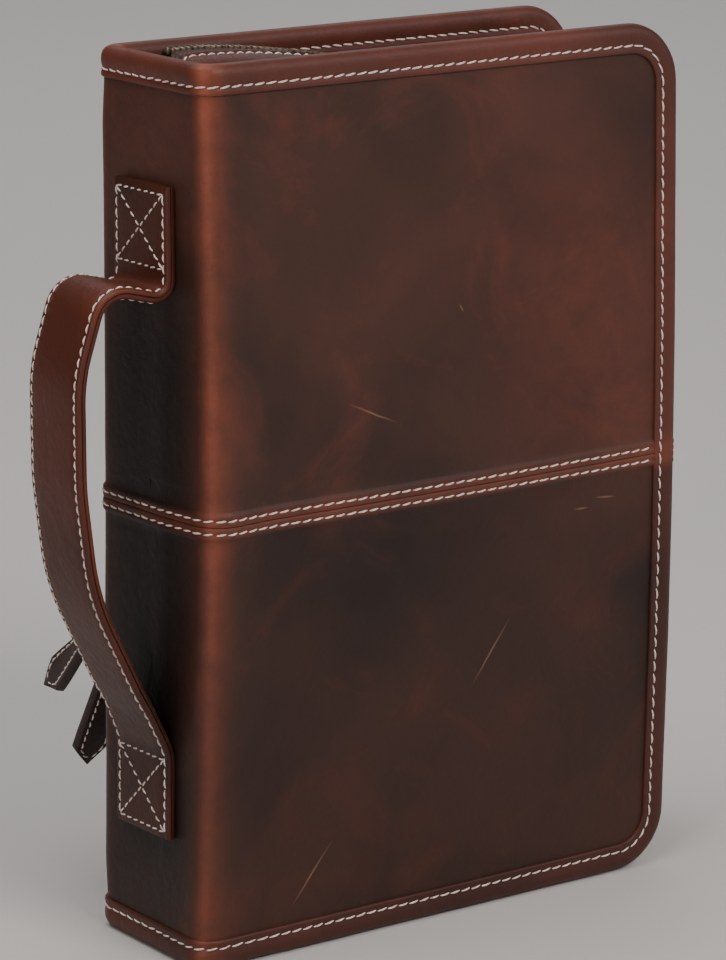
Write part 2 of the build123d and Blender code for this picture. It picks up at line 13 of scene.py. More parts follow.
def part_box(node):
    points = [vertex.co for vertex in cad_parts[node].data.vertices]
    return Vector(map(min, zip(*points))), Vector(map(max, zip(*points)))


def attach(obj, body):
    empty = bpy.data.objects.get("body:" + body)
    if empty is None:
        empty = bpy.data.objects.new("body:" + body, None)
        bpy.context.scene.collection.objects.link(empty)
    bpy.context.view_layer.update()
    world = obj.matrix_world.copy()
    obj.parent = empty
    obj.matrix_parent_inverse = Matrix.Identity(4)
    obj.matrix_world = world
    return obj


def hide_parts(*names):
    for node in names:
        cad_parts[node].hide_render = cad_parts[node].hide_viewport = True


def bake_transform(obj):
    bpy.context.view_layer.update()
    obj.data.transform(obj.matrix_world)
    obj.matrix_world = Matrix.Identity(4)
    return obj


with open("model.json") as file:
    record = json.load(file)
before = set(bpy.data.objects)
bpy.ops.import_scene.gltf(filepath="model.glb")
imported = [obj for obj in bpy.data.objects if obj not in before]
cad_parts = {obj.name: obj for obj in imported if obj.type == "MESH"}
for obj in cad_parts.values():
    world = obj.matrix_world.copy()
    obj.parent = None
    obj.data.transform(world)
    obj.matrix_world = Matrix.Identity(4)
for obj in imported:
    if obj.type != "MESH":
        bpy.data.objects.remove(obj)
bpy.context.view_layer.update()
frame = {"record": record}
bpy.ops.object.select_all(action="DESELECT")
MM = 0.001
SIDES = {"front": -1, "back": 1}

# ---- camera and studio ----------------------------------------------------------------
# A long lens a little above the case, looking at its spine and front cover. The case stands
# on pale paper, under a large soft light in front, weaker ones around and a strip at its fold.
SPINE_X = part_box("spine_binding_bottom")[0].x
CAMERA_PLACE = Vector((SPINE_X - 626.2 * MM, -980.8 * MM, 429.13 * MM))
CAMERA_TURN = math.radians(35.589)
CAMERA_TILT = math.radians(13.8525)
CAMERA_ROLL = math.radians(0.063)
LENS = 155.15

forward = Vector(
    (
        math.sin(CAMERA_TURN) * math.cos(CAMERA_TILT),
        math.cos(CAMERA_TURN) * math.cos(CAMERA_TILT),
        -math.sin(CAMERA_TILT),
    )
)
camera_data = bpy.data.cameras.new("camera")
camera_data.sensor_width = 36
camera_data.lens = LENS
camera_data.clip_end = 20
camera = bpy.data.objects.new("camera", camera_data)
bpy.context.scene.collection.objects.link(camera)
camera.rotation_mode = "QUATERNION"
camera.rotation_quaternion = (
    forward.to_track_quat("-Z", "Y") @ Matrix.Rotation(CAMERA_ROLL, 3, "Z").to_quaternion()
)
camera.location = CAMERA_PLACE
bpy.context.scene.camera = camera


def srgb(code, alpha=1.0):
    """A linear colour from an sRGB hex value."""
    parts = [int(code[i : i + 2], 16) / 255 for i in (1, 3, 5)]
    return (*[p / 12.92 if p <= 0.04045 else ((p + 0.055) / 1.055) ** 2.4 for p in parts], alpha)


def add_node(tree, kind, inputs=None, **settings):
    """One node with its settings, and its inputs as values or as links from other sockets."""
    made = tree.nodes.new(kind)
    for name, value in settings.items():
        setattr(made, name, value)
    for name, value in (inputs or {}).items():
        if isinstance(value, bpy.types.NodeSocket):
            tree.links.new(value, made.inputs[name])
        else:
            made.inputs[name].default_value = value
    return made


def new_material(name):
    """An empty node material with its shader and output."""
    material = bpy.data.materials.new(name)
    material.use_nodes = True
    tree = material.node_tree
    tree.nodes.clear()
    shader = add_node(tree, "ShaderNodeBsdfPrincipled")
    add_node(tree, "ShaderNodeOutputMaterial", {"Surface": shader.outputs[0]})
    return material, tree, shader


# a wide sheet of uncoated paper under the case, which scatters the light evenly
PAPER_SIZE = 14
PAPER_DROP = 0.2 * MM  # so that it doesn't share a plane with the case's foot
bpy.ops.mesh.primitive_grid_add(
    x_subdivisions=8, y_subdivisions=8, size=PAPER_SIZE, location=(0, 0, -PAPER_DROP)
)
paper_floor = bpy.context.object
paper_floor.name = "paper_floor"
bpy.ops.object.transform_apply(location=True, rotation=True, scale=True)
paper_floor.select_set(False)
paper, tree, shader = new_material("matt_backdrop_paper")
shader.inputs["Base Color"].default_value = srgb("#c4c0be")
shader.inputs["Roughness"].default_value = 0.85
place = add_node(tree, "ShaderNodeTexCoord").outputs["Object"]
grain = add_node(tree, "ShaderNodeTexNoise", {"Vector": place, "Scale": 900.0})
bump = add_node(
    tree, "ShaderNodeBump", {"Height": grain.outputs[0], "Distance": 0.00005, "Strength": 0.3}
)
tree.links.new(bump.outputs[0], shader.inputs["Normal"])
paper_floor.data.materials.append(paper)


def soft_light(name, place, aim, size, power, color="#ffffff"):
    """A rectangular softbox that points at a place."""
    data = bpy.data.lights.new(name, "AREA")
    data.shape = "RECTANGLE"
    data.size, data.size_y = size
    data.energy = power
    data.color = srgb(color)[:3]
    lamp = bpy.data.objects.new(name, data)
    bpy.context.scene.collection.objects.link(lamp)
    lamp.location = place
    lamp.rotation_mode = "QUATERNION"
    lamp.rotation_quaternion = (Vector(aim) - Vector(place)).to_track_quat("-Z", "Y")
    return lamp


CASE_MIDDLE = (0.06, 0, 0.13)
soft_light("key_softbox", (0.20, -1.55, 1.30), CASE_MIDDLE, (0.9, 0.9), 22, "#fff8f2")
soft_light("fill_softbox", (1.3, -1.0, 0.9), CASE_MIDDLE, (1.2, 1.2), 6, "#f4f6ff")
soft_light("fold_strip", (-1.15, -0.74, 0.50), (0, -0.02, 0.13), (0.10, 0.9), 5, "#fff4ec")
soft_light("top_softbox", (-0.45, 0.10, 1.7), CASE_MIDDLE, (1.4, 1.0), 14, "#ffffff")
soft_light("floor_wash", (1.2, 1.6, 1.6), (1.2, 2.0, 0), (1.6, 1.6), 14, "#ffffff")
# an even glow from the whole ceiling, which also keeps the far floor pale
even_light = bpy.data.lights.new("even_overhead", "SUN")
even_light.energy = 0.45
even_light.angle = math.radians(60)
bpy.context.scene.collection.objects.link(bpy.data.objects.new("even_overhead", even_light))
world = bpy.data.worlds.new("studio")
world.use_nodes = True
world.node_tree.nodes["Background"].inputs[0].default_value = srgb("#d9d7d6")
world.node_tree.nodes["Background"].inputs[1].default_value = 0.13
bpy.context.scene.world = world

# ---- how the case's wall is made --------------------------------------------------------
# Everything on the wall is cut and sewn flat, and then wrapped round the two folds of the
# spine. A flat place is (along, depth, height): along from the spine's middle to the fore
# edge, depth inwards from the outer face, height above the table.
FOLD_RADIUS = 8.0 * MM
CORNER_RADIUS = 18.0 * MM
BINDING_LEAF = 1.0 * MM  # the outer leather lies this deep, level with the binding's underside
LEATHER = 1.6 * MM
FORE_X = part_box("front_binding")[1].x
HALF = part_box("back_binding")[1].y
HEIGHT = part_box("back_binding")[1].z
MIDDLE_Z = HEIGHT / 2
FLAT_SPINE = HALF - FOLD_RADIUS
FOLD_LENGTH = FOLD_RADIUS * math.pi / 2
FLAT_COVER = FLAT_SPINE + FOLD_LENGTH
FORE_EDGE = FLAT_COVER + FORE_X - SPINE_X - FOLD_RADIUS
SPINE_BOW = 2.4 * MM  # inwards along the front fold
SPINE_FLARE = 3.0 * MM  # outwards at the foot
SPINE_ROUND = 1.4 * MM  # outwards over the back half
COVER_BOW = 1.3 * MM
FORE_BOW = 2.2 * MM
SPINE_REACH = 26 * MM  # how far onto the covers the spine's bow carries
ARCH_REACH = 9 * MM  # how far off the spine, past which the handle's arch keeps its shape
COVER_START = 14 * MM  # where the covers' own bow begins, from the spine's face


def undulate(along, height, side):
    """The slight waviness of stuffed leather, as a depth."""
    # a broad and a fine wave, about 36 and 13 mm long
    wave = [
        noise.noise(Vector((side * a * 28, h * 22, 3.7))) * 0.26
        + noise.noise(Vector((side * a * 75, h * 60, 9.1))) * 0.10
        for a, h in zip(along, height)
    ]
    return np.array(wave) * MM


def settle(points):
    """How the standing case bows: in along its front fold, out at its foot, covers and fore edge."""
    x, y, z = points[:, 0], points[:, 1], points[:, 2]
    share = np.clip(z / HEIGHT, 0, 1)
    rise = np.sin(np.pi * share)
    from_spine = np.clip(1 - (x - SPINE_X) / SPINE_REACH, 0, 1)
    from_spine = from_spine**2 * (3 - 2 * from_spine)
    off_spine = np.clip(1 + (x - SPINE_X) / ARCH_REACH, 0, 1)
    # the front of the spine goes in and its back half out, the latter not quite to its ends
    front_share = np.clip((-6 * MM - y) / (20 * MM), 0, 1)
    back_share = np.clip((y + 2 * MM) / (26 * MM), 0, 1)
    from_ends = np.clip(np.minimum(z, HEIGHT - z) / (22 * MM), 0, 1)
    shift = SPINE_BOW * rise * front_share - SPINE_FLARE * (1 - share) ** 1.5
    shift -= SPINE_ROUND * back_share * from_ends
    across = np.clip((x - SPINE_X - COVER_START) / (FORE_X - SPINE_X - COVER_START), 0, 1)
    belly = np.sin(np.pi * across) ** 0.8
    # each cover bellies out in its middle, and the front one along its fold too
    points = points.copy()
    points[:, 0] += shift * from_spine * off_spine + FORE_BOW * rise * across**2
    front_fold = np.clip(1 - np.abs(x - SPINE_X - 8 * MM) / (22 * MM), 0, 1)
    outwards = COVER_BOW * rise * np.maximum(belly, np.where(y < 0, front_fold, 0))
    points[:, 1] += np.sign(y) * outwards * np.clip(np.abs(y) / HALF, 0, 1) ** 2
    return points


def wrap(flat, side):
    """Flat places wrapped round the fold of one side of the spine."""
    along, depth, height = flat[:, 0], flat[:, 1].copy(), flat[:, 2]
    depth = depth + undulate(along, height, side)
    turn = np.clip((along - FLAT_SPINE) / FOLD_RADIUS, 0, math.pi / 2)
    past = np.maximum(along - FLAT_COVER, 0)
    before = np.minimum(along, FLAT_SPINE)
    radius = FOLD_RADIUS - depth
    x = SPINE_X + FOLD_RADIUS - radius * np.cos(turn) + past
    y = side * (before + radius * np.sin(turn))
    return settle(np.stack([x, y, height], 1))


def make_mesh(name, points, faces, uvs=None, **wear_and_painted_light):
    """A mesh object from points and faces, with its flat coordinates and maps of wear and of painted
    light and shade.
    """
    mesh = bpy.data.meshes.new(name)
    mesh.from_pydata([tuple(p) for p in points], [], faces)
    if uvs is not None:
        layer = mesh.uv_layers.new(name="flat")
        loop_vertex = np.zeros(len(mesh.loops), int)
        mesh.loops.foreach_get("vertex_index", loop_vertex)
        layer.data.foreach_set("uv", np.asarray(uvs)[loop_vertex].astype(np.float32).ravel())
    for kind, values in wear_and_painted_light.items():
        layer = mesh.attributes.new(kind, "FLOAT", "POINT")
        layer.data.foreach_set("value", np.asarray(values, np.float32))
    edit = bmesh.new()
    edit.from_mesh(mesh)
    bmesh.ops.recalc_face_normals(edit, faces=edit.faces)
    edit.to_mesh(mesh)
    edit.free()
    piece = bpy.data.objects.new(name, mesh)
    bpy.context.scene.collection.objects.link(piece)
    bpy.ops.object.select_all(action="DESELECT")
    piece.select_set(True)
    bpy.context.view_layer.objects.active = piece
    bpy.ops.object.shade_smooth_by_angle(angle=math.radians(42))
    piece.select_set(False)
    return piece


def ring_faces(count, around):
    """Quads between rings of points in order, and a face over each end."""
    faces = []
    for i in range(count - 1):
        for j in range(around):
            k = (j + 1) % around
            faces.append((i * around + j, i * around + k, (i + 1) * around + k, (i + 1) * around + j))
    faces.append(tuple(range(around)))
    faces.append(tuple((count - 1) * around + j for j in range(around)))
    return faces


# how strongly the fold is rubbed red and carries its painted highlight: shares of the height, and the
# strength at each
FOLD_RUB_AND_HIGHLIGHT = ((0, 0.28, 0.45, 0.58, 0.74, 0.93), (0.95, 0.66, 0.90, 1.15, 0.68, 1.05))


def wear_and_painted_light_maps(along, height):
    """Where the leather is rubbed red along the fold, with a painted highlight on the fold's ridge, and
    where painted shade darkens it.
    """
    middle = FLAT_SPINE + 0.55 * FOLD_LENGTH
    share = height / HEIGHT
    # a painted highlight along the fold's ridge, in a broad band rubbed red along the fold
    painted_highlight = np.exp(-(((along - middle + 1.2 * MM) / (2.0 * MM)) ** 2))
    band = np.exp(-(((along - middle) / (5.8 * MM)) ** 2))
    rubbed_and_highlight = (0.55 * band + 0.50 * painted_highlight) * (0.55 + 0.45 * share)
    rubbed_and_highlight = rubbed_and_highlight * np.interp(share, *FOLD_RUB_AND_HIGHLIGHT)
    # painted shade: dark on the spine behind the handle, and on the covers below the seam
    on_spine = np.exp(-((along / (19 * MM)) ** 4)) * np.clip((0.84 - share) / 0.18, 0, 1)
    on_spine = on_spine * np.clip((share - 0.02) / 0.12, 0, 1)
    on_cover = np.clip((along - middle) / (20 * MM), 0, 1) * np.clip((0.52 - share) / 0.04, 0, 1)
    # redder along the seam, in a broad patch on the covers and at the head of the spine
    seam = np.exp(-(((height - MIDDLE_Z) / (3.4 * MM)) ** 4))
    blot = np.exp(-(((along - FLAT_COVER - 128 * MM) / (32 * MM)) ** 2 + ((share - 0.68) / 0.2) ** 2))
    head = np.clip((share - 0.78) / 0.12, 0, 1) * (along < FLAT_SPINE)
    rubbed_and_highlight = np.maximum.reduce([rubbed_and_highlight, 0.40 * seam, 0.26 * blot, 0.16 * head])
    handled = np.maximum(on_spine, 0.42 * on_cover) * (1 - 0.8 * seam)
    return {"rubbed_and_highlight": rubbed_and_highlight, "handled": handled}


def sewn_flat(name, stations, profile, side, uv_shift=0.0):
    """A strip with a closed profile carried along flat stations, then wrapped.

    A station is (along, height, across along, across height); the profile is (across, depth).
    """
    stations = np.asarray(stations, float)
    profile = np.asarray(profile, float)
    along = stations[:, None, 0] + stations[:, None, 2] * profile[None, :, 0]
    height = stations[:, None, 1] + stations[:, None, 3] * profile[None, :, 0]
    depth = np.broadcast_to(profile[None, :, 1], along.shape)
    flat = np.stack([along.ravel(), depth.ravel(), height.ravel()], 1)
    uvs = np.stack([side * flat[:, 0] + uv_shift, flat[:, 2] + 0.3 * flat[:, 1]], 1)
    return make_mesh(
        name,
        wrap(flat, side),
        ring_faces(len(stations), len(profile)),
        uvs,
        **wear_and_painted_light_maps(flat[:, 0], flat[:, 2]),
    )


def along_stations(start, end, step=3.0 * MM):
    """Places along the wall, close together where it goes round the fold."""
    marks = [start]
    while marks[-1] < end - 1e-6:
        near_fold = FLAT_SPINE - 6 * MM < marks[-1] < FLAT_COVER + 4 * MM
        marks.append(min(end, marks[-1] + (1.0 * MM if near_fold else step)))
    return marks


def over_the_fold(piece):
    """A piece that runs from the spine onto a cover, with its transform baked into its mesh."""
    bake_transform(piece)


# ---- outer leather ----------------------------------------------------------------------
# Oiled pull-up cowhide, 1.6 mm thick: an upper and a lower panel, each wrapped from cover to
# cover, with edges turned under and sewn down in two rows where they meet at half height.
PAINTED_SHADE_TONE = "#0d0908"  # the near-black tone of the painted shade
SCRATCHED = "#7d5c4b"
SCRATCH_WIDTH = 0.4 * MM


def pull_up_leather(name, dark, body, red, glow, coords="UV", roughness=0.5, grain=1.0, scratches=()):
    """Waxed and oiled leather: mottled, reddish where it is bent, with a fine creased grain.

    A scratch is (along, height, length, angle) on the flat leather, in mm and degrees.
    """
    material, tree, shader = new_material(name)
    place = add_node(tree, "ShaderNodeTexCoord").outputs[coords]
    broad = add_node(
        tree, "ShaderNodeTexNoise", {"Vector": place, "Scale": 13.0, "Detail": 5.0, "Distortion": 0.4}
    )
    clouds = add_node(tree, "ShaderNodeValToRGB", {"Fac": broad.outputs[0]})
    clouds.color_ramp.elements[0].position = 0.36
    clouds.color_ramp.elements[0].color = srgb(dark)
    clouds.color_ramp.elements[1].position = 0.68
    clouds.color_ramp.elements[1].color = srgb(body)
    # reddish streaks where the wax has been pushed aside
    streaks = add_node(tree, "ShaderNodeTexNoise", {
        "Vector": place, "Scale": 24.0, "Detail": 8.0, "Roughness": 0.68, "Distortion": 0.9,
    })
    streaked = add_node(tree, "ShaderNodeMapRange", {
        "Value": streaks.outputs[0], "From Min": 0.52, "From Max": 0.80, "To Min": 0.0, "To Max": 0.70,
    })
    colour = add_node(tree, "ShaderNodeMix", {
        0: streaked.outputs[0], 6: clouds.outputs[0], 7: srgb(red),
    }, data_type="RGBA").outputs[2]
    # fine creases, lighter than the leather, in a few places only
    warped = add_node(tree, "ShaderNodeTexNoise", {
        "Vector": place, "Scale": 140.0, "Detail": 6.0, "Roughness": 0.7, "Distortion": 2.0,
    })
    lines = add_node(tree, "ShaderNodeMapRange", {
        "Value": warped.outputs[0], "From Min": 0.60, "From Max": 0.68, "To Min": 0.0, "To Max": 0.35,
    })
    where = add_node(tree, "ShaderNodeMath", {0: lines.outputs[0], 1: streaked.outputs[0]},
                     operation="MULTIPLY")
    colour = add_node(tree, "ShaderNodeMix", {
        0: where.outputs[0], 6: colour, 7: srgb(glow),
    }, data_type="RGBA").outputs[2]
    # rubbed red along the fold with a painted highlight on its ridge, and darkened with painted shade
    speckle = add_node(tree, "ShaderNodeTexNoise", {
        "Vector": place, "Scale": 90.0, "Detail": 6.0, "Roughness": 0.7,
    })
    uneven = add_node(tree, "ShaderNodeMapRange", {
        "Value": speckle.outputs[0], "From Min": 0.25, "From Max": 0.60, "To Min": 0.45, "To Max": 1.0,
    })
    rubbed_and_highlight = add_node(tree, "ShaderNodeAttribute", attribute_name="rubbed_and_highlight")
    rubbed_and_highlight_here = add_node(tree, "ShaderNodeMath", {0: rubbed_and_highlight.outputs["Fac"], 1: uneven.outputs[0]},
                           operation="MULTIPLY", use_clamp=True)
    colour = add_node(tree, "ShaderNodeMix", {
        0: rubbed_and_highlight_here.outputs[0], 6: colour, 7: srgb(glow),
    }, data_type="RGBA").outputs[2]
    handled = add_node(tree, "ShaderNodeAttribute", attribute_name="handled")
    handled_here = add_node(tree, "ShaderNodeMath", {0: handled.outputs["Fac"], 1: 0.92},
                            operation="MULTIPLY", use_clamp=True)
    colour = add_node(tree, "ShaderNodeMix", {
        0: handled_here.outputs[0], 6: colour, 7: srgb(PAINTED_SHADE_TONE),
    }, data_type="RGBA").outputs[2]
    # a few scratches, which taper to both ends and show the paler leather under the wax
    wobble = add_node(tree, "ShaderNodeTexNoise", {"Vector": place, "Scale": 60.0, "Detail": 3.0})
    moved = add_node(tree, "ShaderNodeVectorMath", {0: wobble.outputs["Color"], 1: (0.0016,) * 3},
                     operation="MULTIPLY")
    moved = add_node(tree, "ShaderNodeVectorMath", {0: place, 1: moved.outputs[0]}, operation="ADD")
    for along, height, length, angle in scratches:
        local = add_node(tree, "ShaderNodeMapping", {
            "Vector": moved.outputs[0], "Location": (along * MM, height * MM, 0),
            "Rotation": (0, 0, math.radians(angle)), "Scale": (length * MM / 2, SCRATCH_WIDTH, 1),
        }, vector_type="TEXTURE")
        reach = add_node(tree, "ShaderNodeVectorMath", {0: local.outputs[0]}, operation="LENGTH")
        line = add_node(tree, "ShaderNodeMath", {0: 1.0, 1: reach.outputs["Value"]},
                        operation="SUBTRACT", use_clamp=True)
        colour = add_node(tree, "ShaderNodeMix", {
            0: line.outputs[0], 6: colour, 7: srgb(SCRATCHED),
        }, data_type="RGBA").outputs[2]
    tree.links.new(colour, shader.inputs["Base Color"])
    # pores and the fine net of creases, about a millimetre across
    cells = add_node(tree, "ShaderNodeTexVoronoi", {"Vector": place, "Scale": 900.0 * grain},
                     feature="DISTANCE_TO_EDGE")
    cell_height = add_node(tree, "ShaderNodeMapRange", {
        "Value": cells.outputs["Distance"], "From Min": 0.0, "From Max": 0.25,
    })
    fine = add_node(tree, "ShaderNodeTexNoise", {"Vector": place, "Scale": 420.0, "Detail": 4.0})
    wrinkles = add_node(
        tree, "ShaderNodeTexNoise", {"Vector": place, "Scale": 95.0, "Detail": 3.0, "Distortion": 1.2}
    )
    small = add_node(tree, "ShaderNodeBump", {
        "Height": cell_height.outputs[0], "Distance": 0.00006, "Strength": 0.35,
    })
    middle = add_node(tree, "ShaderNodeBump", {
        "Height": fine.outputs[0], "Distance": 0.00025, "Strength": 0.5, "Normal": small.outputs[0],
    })
    large = add_node(tree, "ShaderNodeBump", {
        "Height": wrinkles.outputs[0], "Distance": 0.0008, "Strength": 0.35,
        "Normal": middle.outputs[0],
    })
    tree.links.new(large.outputs[0], shader.inputs["Normal"])
    shine = add_node(tree, "ShaderNodeMapRange", {
        "Value": fine.outputs[0], "To Min": roughness - 0.08, "To Max": roughness + 0.10,
    })
    tree.links.new(shine.outputs[0], shader.inputs["Roughness"])
    shader.inputs["Specular IOR Level"].default_value = 0.30
    return material


# waxed pull-up cowhide with a satin sheen, nearly black where the wax is whole
dark_leather = pull_up_leather(
    "dark_pull_up_leather", "#2a1b17", "#4a2c23", "#663224", "#8a4733",
    scratches=[
        (-83.1, 160.5, 20, 25), (-126.6, 81.2, 26, -54), (-61.7, 23.7, 26, -50),
        (-114.6, 188.3, 3.5, 60), (-169.0, 123.0, 9, 5), (-160.0, 120.5, 6, 3),
    ],
)
SEAM_PROFILE = [  # across from the seam, depth
    (0.04, 0.95), (0.10, 0.55), (0.45, 0.36), (1.0, 0.30), (1.55, 0.36), (1.95, 0.58), (2.35, 0.36),
    (2.9, 0.28), (3.5, 0.38), (4.0, 0.80), (4.6, 1.0),
]
PANEL_INSET = 1.0 * MM  # the panels stop short of the rim, inside the binding
CREASE_HEIGHT = 9.0  # a faint crease pressed into the front above the seam


def panel_profile(upper, creased):
    """Section of a panel from the seam outwards: the turned edge, then the flat."""
    far = (MIDDLE_Z - PANEL_INSET) / MM
    grain, flesh = BINDING_LEAF / MM, (BINDING_LEAF + LEATHER) / MM
    outer = list(SEAM_PROFILE)
    across = 6.6
    while across < far:
        dip = 0.22 * math.exp(-(((across - CREASE_HEIGHT) / 0.9) ** 2)) if creased else 0
        outer.append((across, grain + dip))
        across += 0.6 if creased and 7.4 < across < 10.8 else 2.8
    outer.append((far, grain))
    inner = [(far, flesh), (0.75 * far, flesh), (0.5 * far, flesh), (0.25 * far, flesh), (0.05, flesh)]
    return np.array(outer + inner) * MM


def leather_panel(side_name, side, upper):
    """One half of a panel, from the middle of the spine to the fore edge."""
    level = "upper" if upper else "lower"
    turn = 1 if upper else -1
    profile = panel_profile(upper, upper and side_name == "front")
    radius = CORNER_RADIUS - PANEL_INSET
    centre_along = FORE_EDGE - PANEL_INSET - radius
    centre_across = MIDDLE_Z - PANEL_INSET - radius
    stations = along_stations(0, FORE_EDGE - PANEL_INSET)
    points = []
    for place in stations:
        for across, depth in profile:
            a = max(0.0, (place - centre_along) / radius)
            b = max(0.0, (across - centre_across) / radius)
            along, rise = place, across
            if a > 0 and b > 0:
                # the square corner is drawn in to its round
                along = centre_along + radius * a * math.sqrt(1 - b * b / 2)
                rise = centre_across + radius * b * math.sqrt(1 - a * a / 2)
            points.append((along, depth, MIDDLE_Z + turn * rise))
    flat = np.array(points)
    uvs = np.stack([side * flat[:, 0], flat[:, 2]], 1)
    panel = make_mesh(
        f"{side_name}_{level}_leather",
        wrap(flat, side),
        ring_faces(len(stations), len(profile)),
        uvs,
        **wear_and_painted_light_maps(flat[:, 0], flat[:, 2]),
    )
    panel.data.materials.append(dark_leather)
    return panel


leather_panels = {}
for side_name, side in SIDES.items():
    for upper in (True, False):
        panel = leather_panel(side_name, side, upper)
        level = "upper" if upper else "lower"
        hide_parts(f"{side_name}_leather_{level}")
        if side_name == "front":
            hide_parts(f"spine_leather_{level}")
        leather_panels[side_name, level] = panel

# the slot for the pocket zip is cut through both back panels
slot_low, slot_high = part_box("pocket_zip_stops")
slot_x = (slot_low.x + slot_high.x) / 2
SLOT_HALF = 3.5 * MM
SLOT_MARGIN = 1.2 * MM
CUTTER_DEPTH = 12 * MM
for level in ("upper", "lower"):
    bpy.ops.mesh.primitive_cube_add(size=1)
    cutter = bpy.context.object
    cutter.scale = (2 * SLOT_HALF, CUTTER_DEPTH, slot_high.z - slot_low.z + 2 * SLOT_MARGIN)
    cutter.location = (slot_x, HALF, (slot_high.z + slot_low.z) / 2)
    bpy.ops.object.transform_apply(location=True, rotation=True, scale=True)
    bpy.ops.object.mode_set(mode="EDIT")
    edit = bmesh.from_edit_mesh(cutter.data)
    for edge in edit.edges:
        one, two = edge.verts
        edge.select = abs(one.co.y - two.co.y) > 1 * MM
    bmesh.update_edit_mesh(cutter.data)
    bpy.ops.mesh.bevel(offset=0.95 * SLOT_HALF, segments=6)
    bpy.ops.object.mode_set(mode="OBJECT")
    panel = leather_panels["back", level]
    bpy.ops.object.select_all(action="DESELECT")
    bpy.context.view_layer.objects.active = panel
    cut = panel.modifiers.new("slot", "BOOLEAN")
    cut.object = cutter
    cut.solver = "EXACT"
    bpy.ops.object.modifier_apply(modifier=cut.name)
    bpy.data.objects.remove(cutter)
for (side_name, level), panel in leather_panels.items():
    over_the_fold(panel)

# ---- boards and lining ------------------------------------------------------------------
# Grey board stiffens each cover and the spine. A brown woven lining covers it inside, and both
# are glued up and stop just inside the rim.
LAYER_INSET = 1.2 * MM
LAYER_STEP = 6 * MM
BOARD_DEPTHS = (2.65 * MM, 4.55 * MM)
LINING_DEPTHS = (4.6 * MM, 5.2 * MM)
BOARD_FROM_FOLD = {"front": 4 * MM, "back": 12 * MM}  # the back board leaves room for the zip
SPINE_BOARD_HALF = 18.5 * MM

# pressed pulp board, matt, with a fine fleck
board_material, tree, shader = new_material("grey_board")
place = add_node(tree, "ShaderNodeTexCoord").outputs["Object"]
fibres = add_node(tree, "ShaderNodeTexNoise", {"Vector": place, "Scale": 700.0, "Detail": 4.0})
tone = add_node(tree, "ShaderNodeValToRGB", {"Fac": fibres.outputs[0]})
tone.color_ramp.elements[0].color = srgb("#77716a")
tone.color_ramp.elements[1].color = srgb("#938c84")
tree.links.new(tone.outputs[0], shader.inputs["Base Color"])
shader.inputs["Roughness"].default_value = 0.9

# plain-woven cotton, coarser than real so that the weave can be seen, with a faint nap
lining_material, tree, shader = new_material("woven_lining_cloth")
place = add_node(tree, "ShaderNodeTexCoord").outputs["UV"]
warp = add_node(tree, "ShaderNodeTexWave", {"Vector": place, "Scale": 260.0}, bands_direction="X")
weft = add_node(tree, "ShaderNodeTexWave", {"Vector": place, "Scale": 260.0}, bands_direction="Y")
weave = add_node(
    tree, "ShaderNodeMath", {0: warp.outputs["Fac"], 1: weft.outputs["Fac"]}, operation="MULTIPLY"
)
tone = add_node(tree, "ShaderNodeValToRGB", {"Fac": weave.outputs[0]})
tone.color_ramp.elements[0].color = srgb("#2f221b")
tone.color_ramp.elements[1].color = srgb("#4a372c")
tree.links.new(tone.outputs[0], shader.inputs["Base Color"])
bump = add_node(
    tree, "ShaderNodeBump", {"Height": weave.outputs[0], "Distance": 0.0001, "Strength": 0.6}
)
tree.links.new(bump.outputs[0], shader.inputs["Normal"])
shader.inputs["Roughness"].default_value = 0.85
shader.inputs["Sheen Weight"].default_value = 0.2


def flat_layer(name, side, start, end, depths):
    """A flat layer of the wall between two depths, with the cover's rounded fore corners."""
    near, far = depths
    low, high = LAYER_INSET, HEIGHT - LAYER_INSET
    radius = CORNER_RADIUS - LAYER_INSET
    rises = np.linspace(low, high, 24)
    section = [(rise, near) for rise in rises] + [(rise, far) for rise in rises[::-1]]
    stations = along_stations(start, end, LAYER_STEP)
    if end > FLAT_COVER:
        stations = [s for s in stations if s < end - radius]
        stations += [end - radius * (1 - math.sin(a)) for a in np.linspace(0, math.pi / 2, 9)]
    points = []
    for place in stations:
        past = max(0.0, place - (FORE_EDGE - CORNER_RADIUS))
        cut = radius - math.sqrt(max(0.0, radius**2 - past**2)) if past else 0.0
        for rise, depth in section:
            points.append((place, depth, min(max(rise, low + cut), high - cut)))
    flat = np.array(points)
    uvs = np.stack([flat[:, 0], flat[:, 2]], 1)
    return make_mesh(name, wrap(flat, side), ring_faces(len(stations), len(section)), uvs)


for side_name, side in SIDES.items():
    start = FLAT_COVER + BOARD_FROM_FOLD[side_name]
    board = flat_layer(f"{side_name}_stiffener", side, start, FORE_EDGE - LAYER_INSET, BOARD_DEPTHS)
    board.data.materials.append(board_material)
    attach(board, f"{side_name}_cover")
    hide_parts(f"{side_name}_board")
    lining = flat_layer(f"{side_name}_lining_cloth", side, 0, FORE_EDGE - LAYER_INSET, LINING_DEPTHS)
    lining.data.materials.append(lining_material)
    over_the_fold(lining)
    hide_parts(f"{side_name}_lining")
    if side_name == "front":
        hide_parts("spine_lining")
for side_name, side in SIDES.items():
    board = flat_layer(f"spine_stiffener_{side_name}_half", side, 0, SPINE_BOARD_HALF, BOARD_DEPTHS)
    board.data.materials.append(board_material)
    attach(board, "spine")
    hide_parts("spine_board")

# ---- thread -------------------------------------------------------------------------------
# Off-white bonded thread in a lockstitch, about seven stitches to the inch. Each stitch
# dives into its hole at both ends and lies a little across the row.
STITCH_PITCH = 3.9 * MM
THREAD = 0.30 * MM  # half the thread's thickness
STITCH_RINGS = 5
STITCH_AROUND = 6

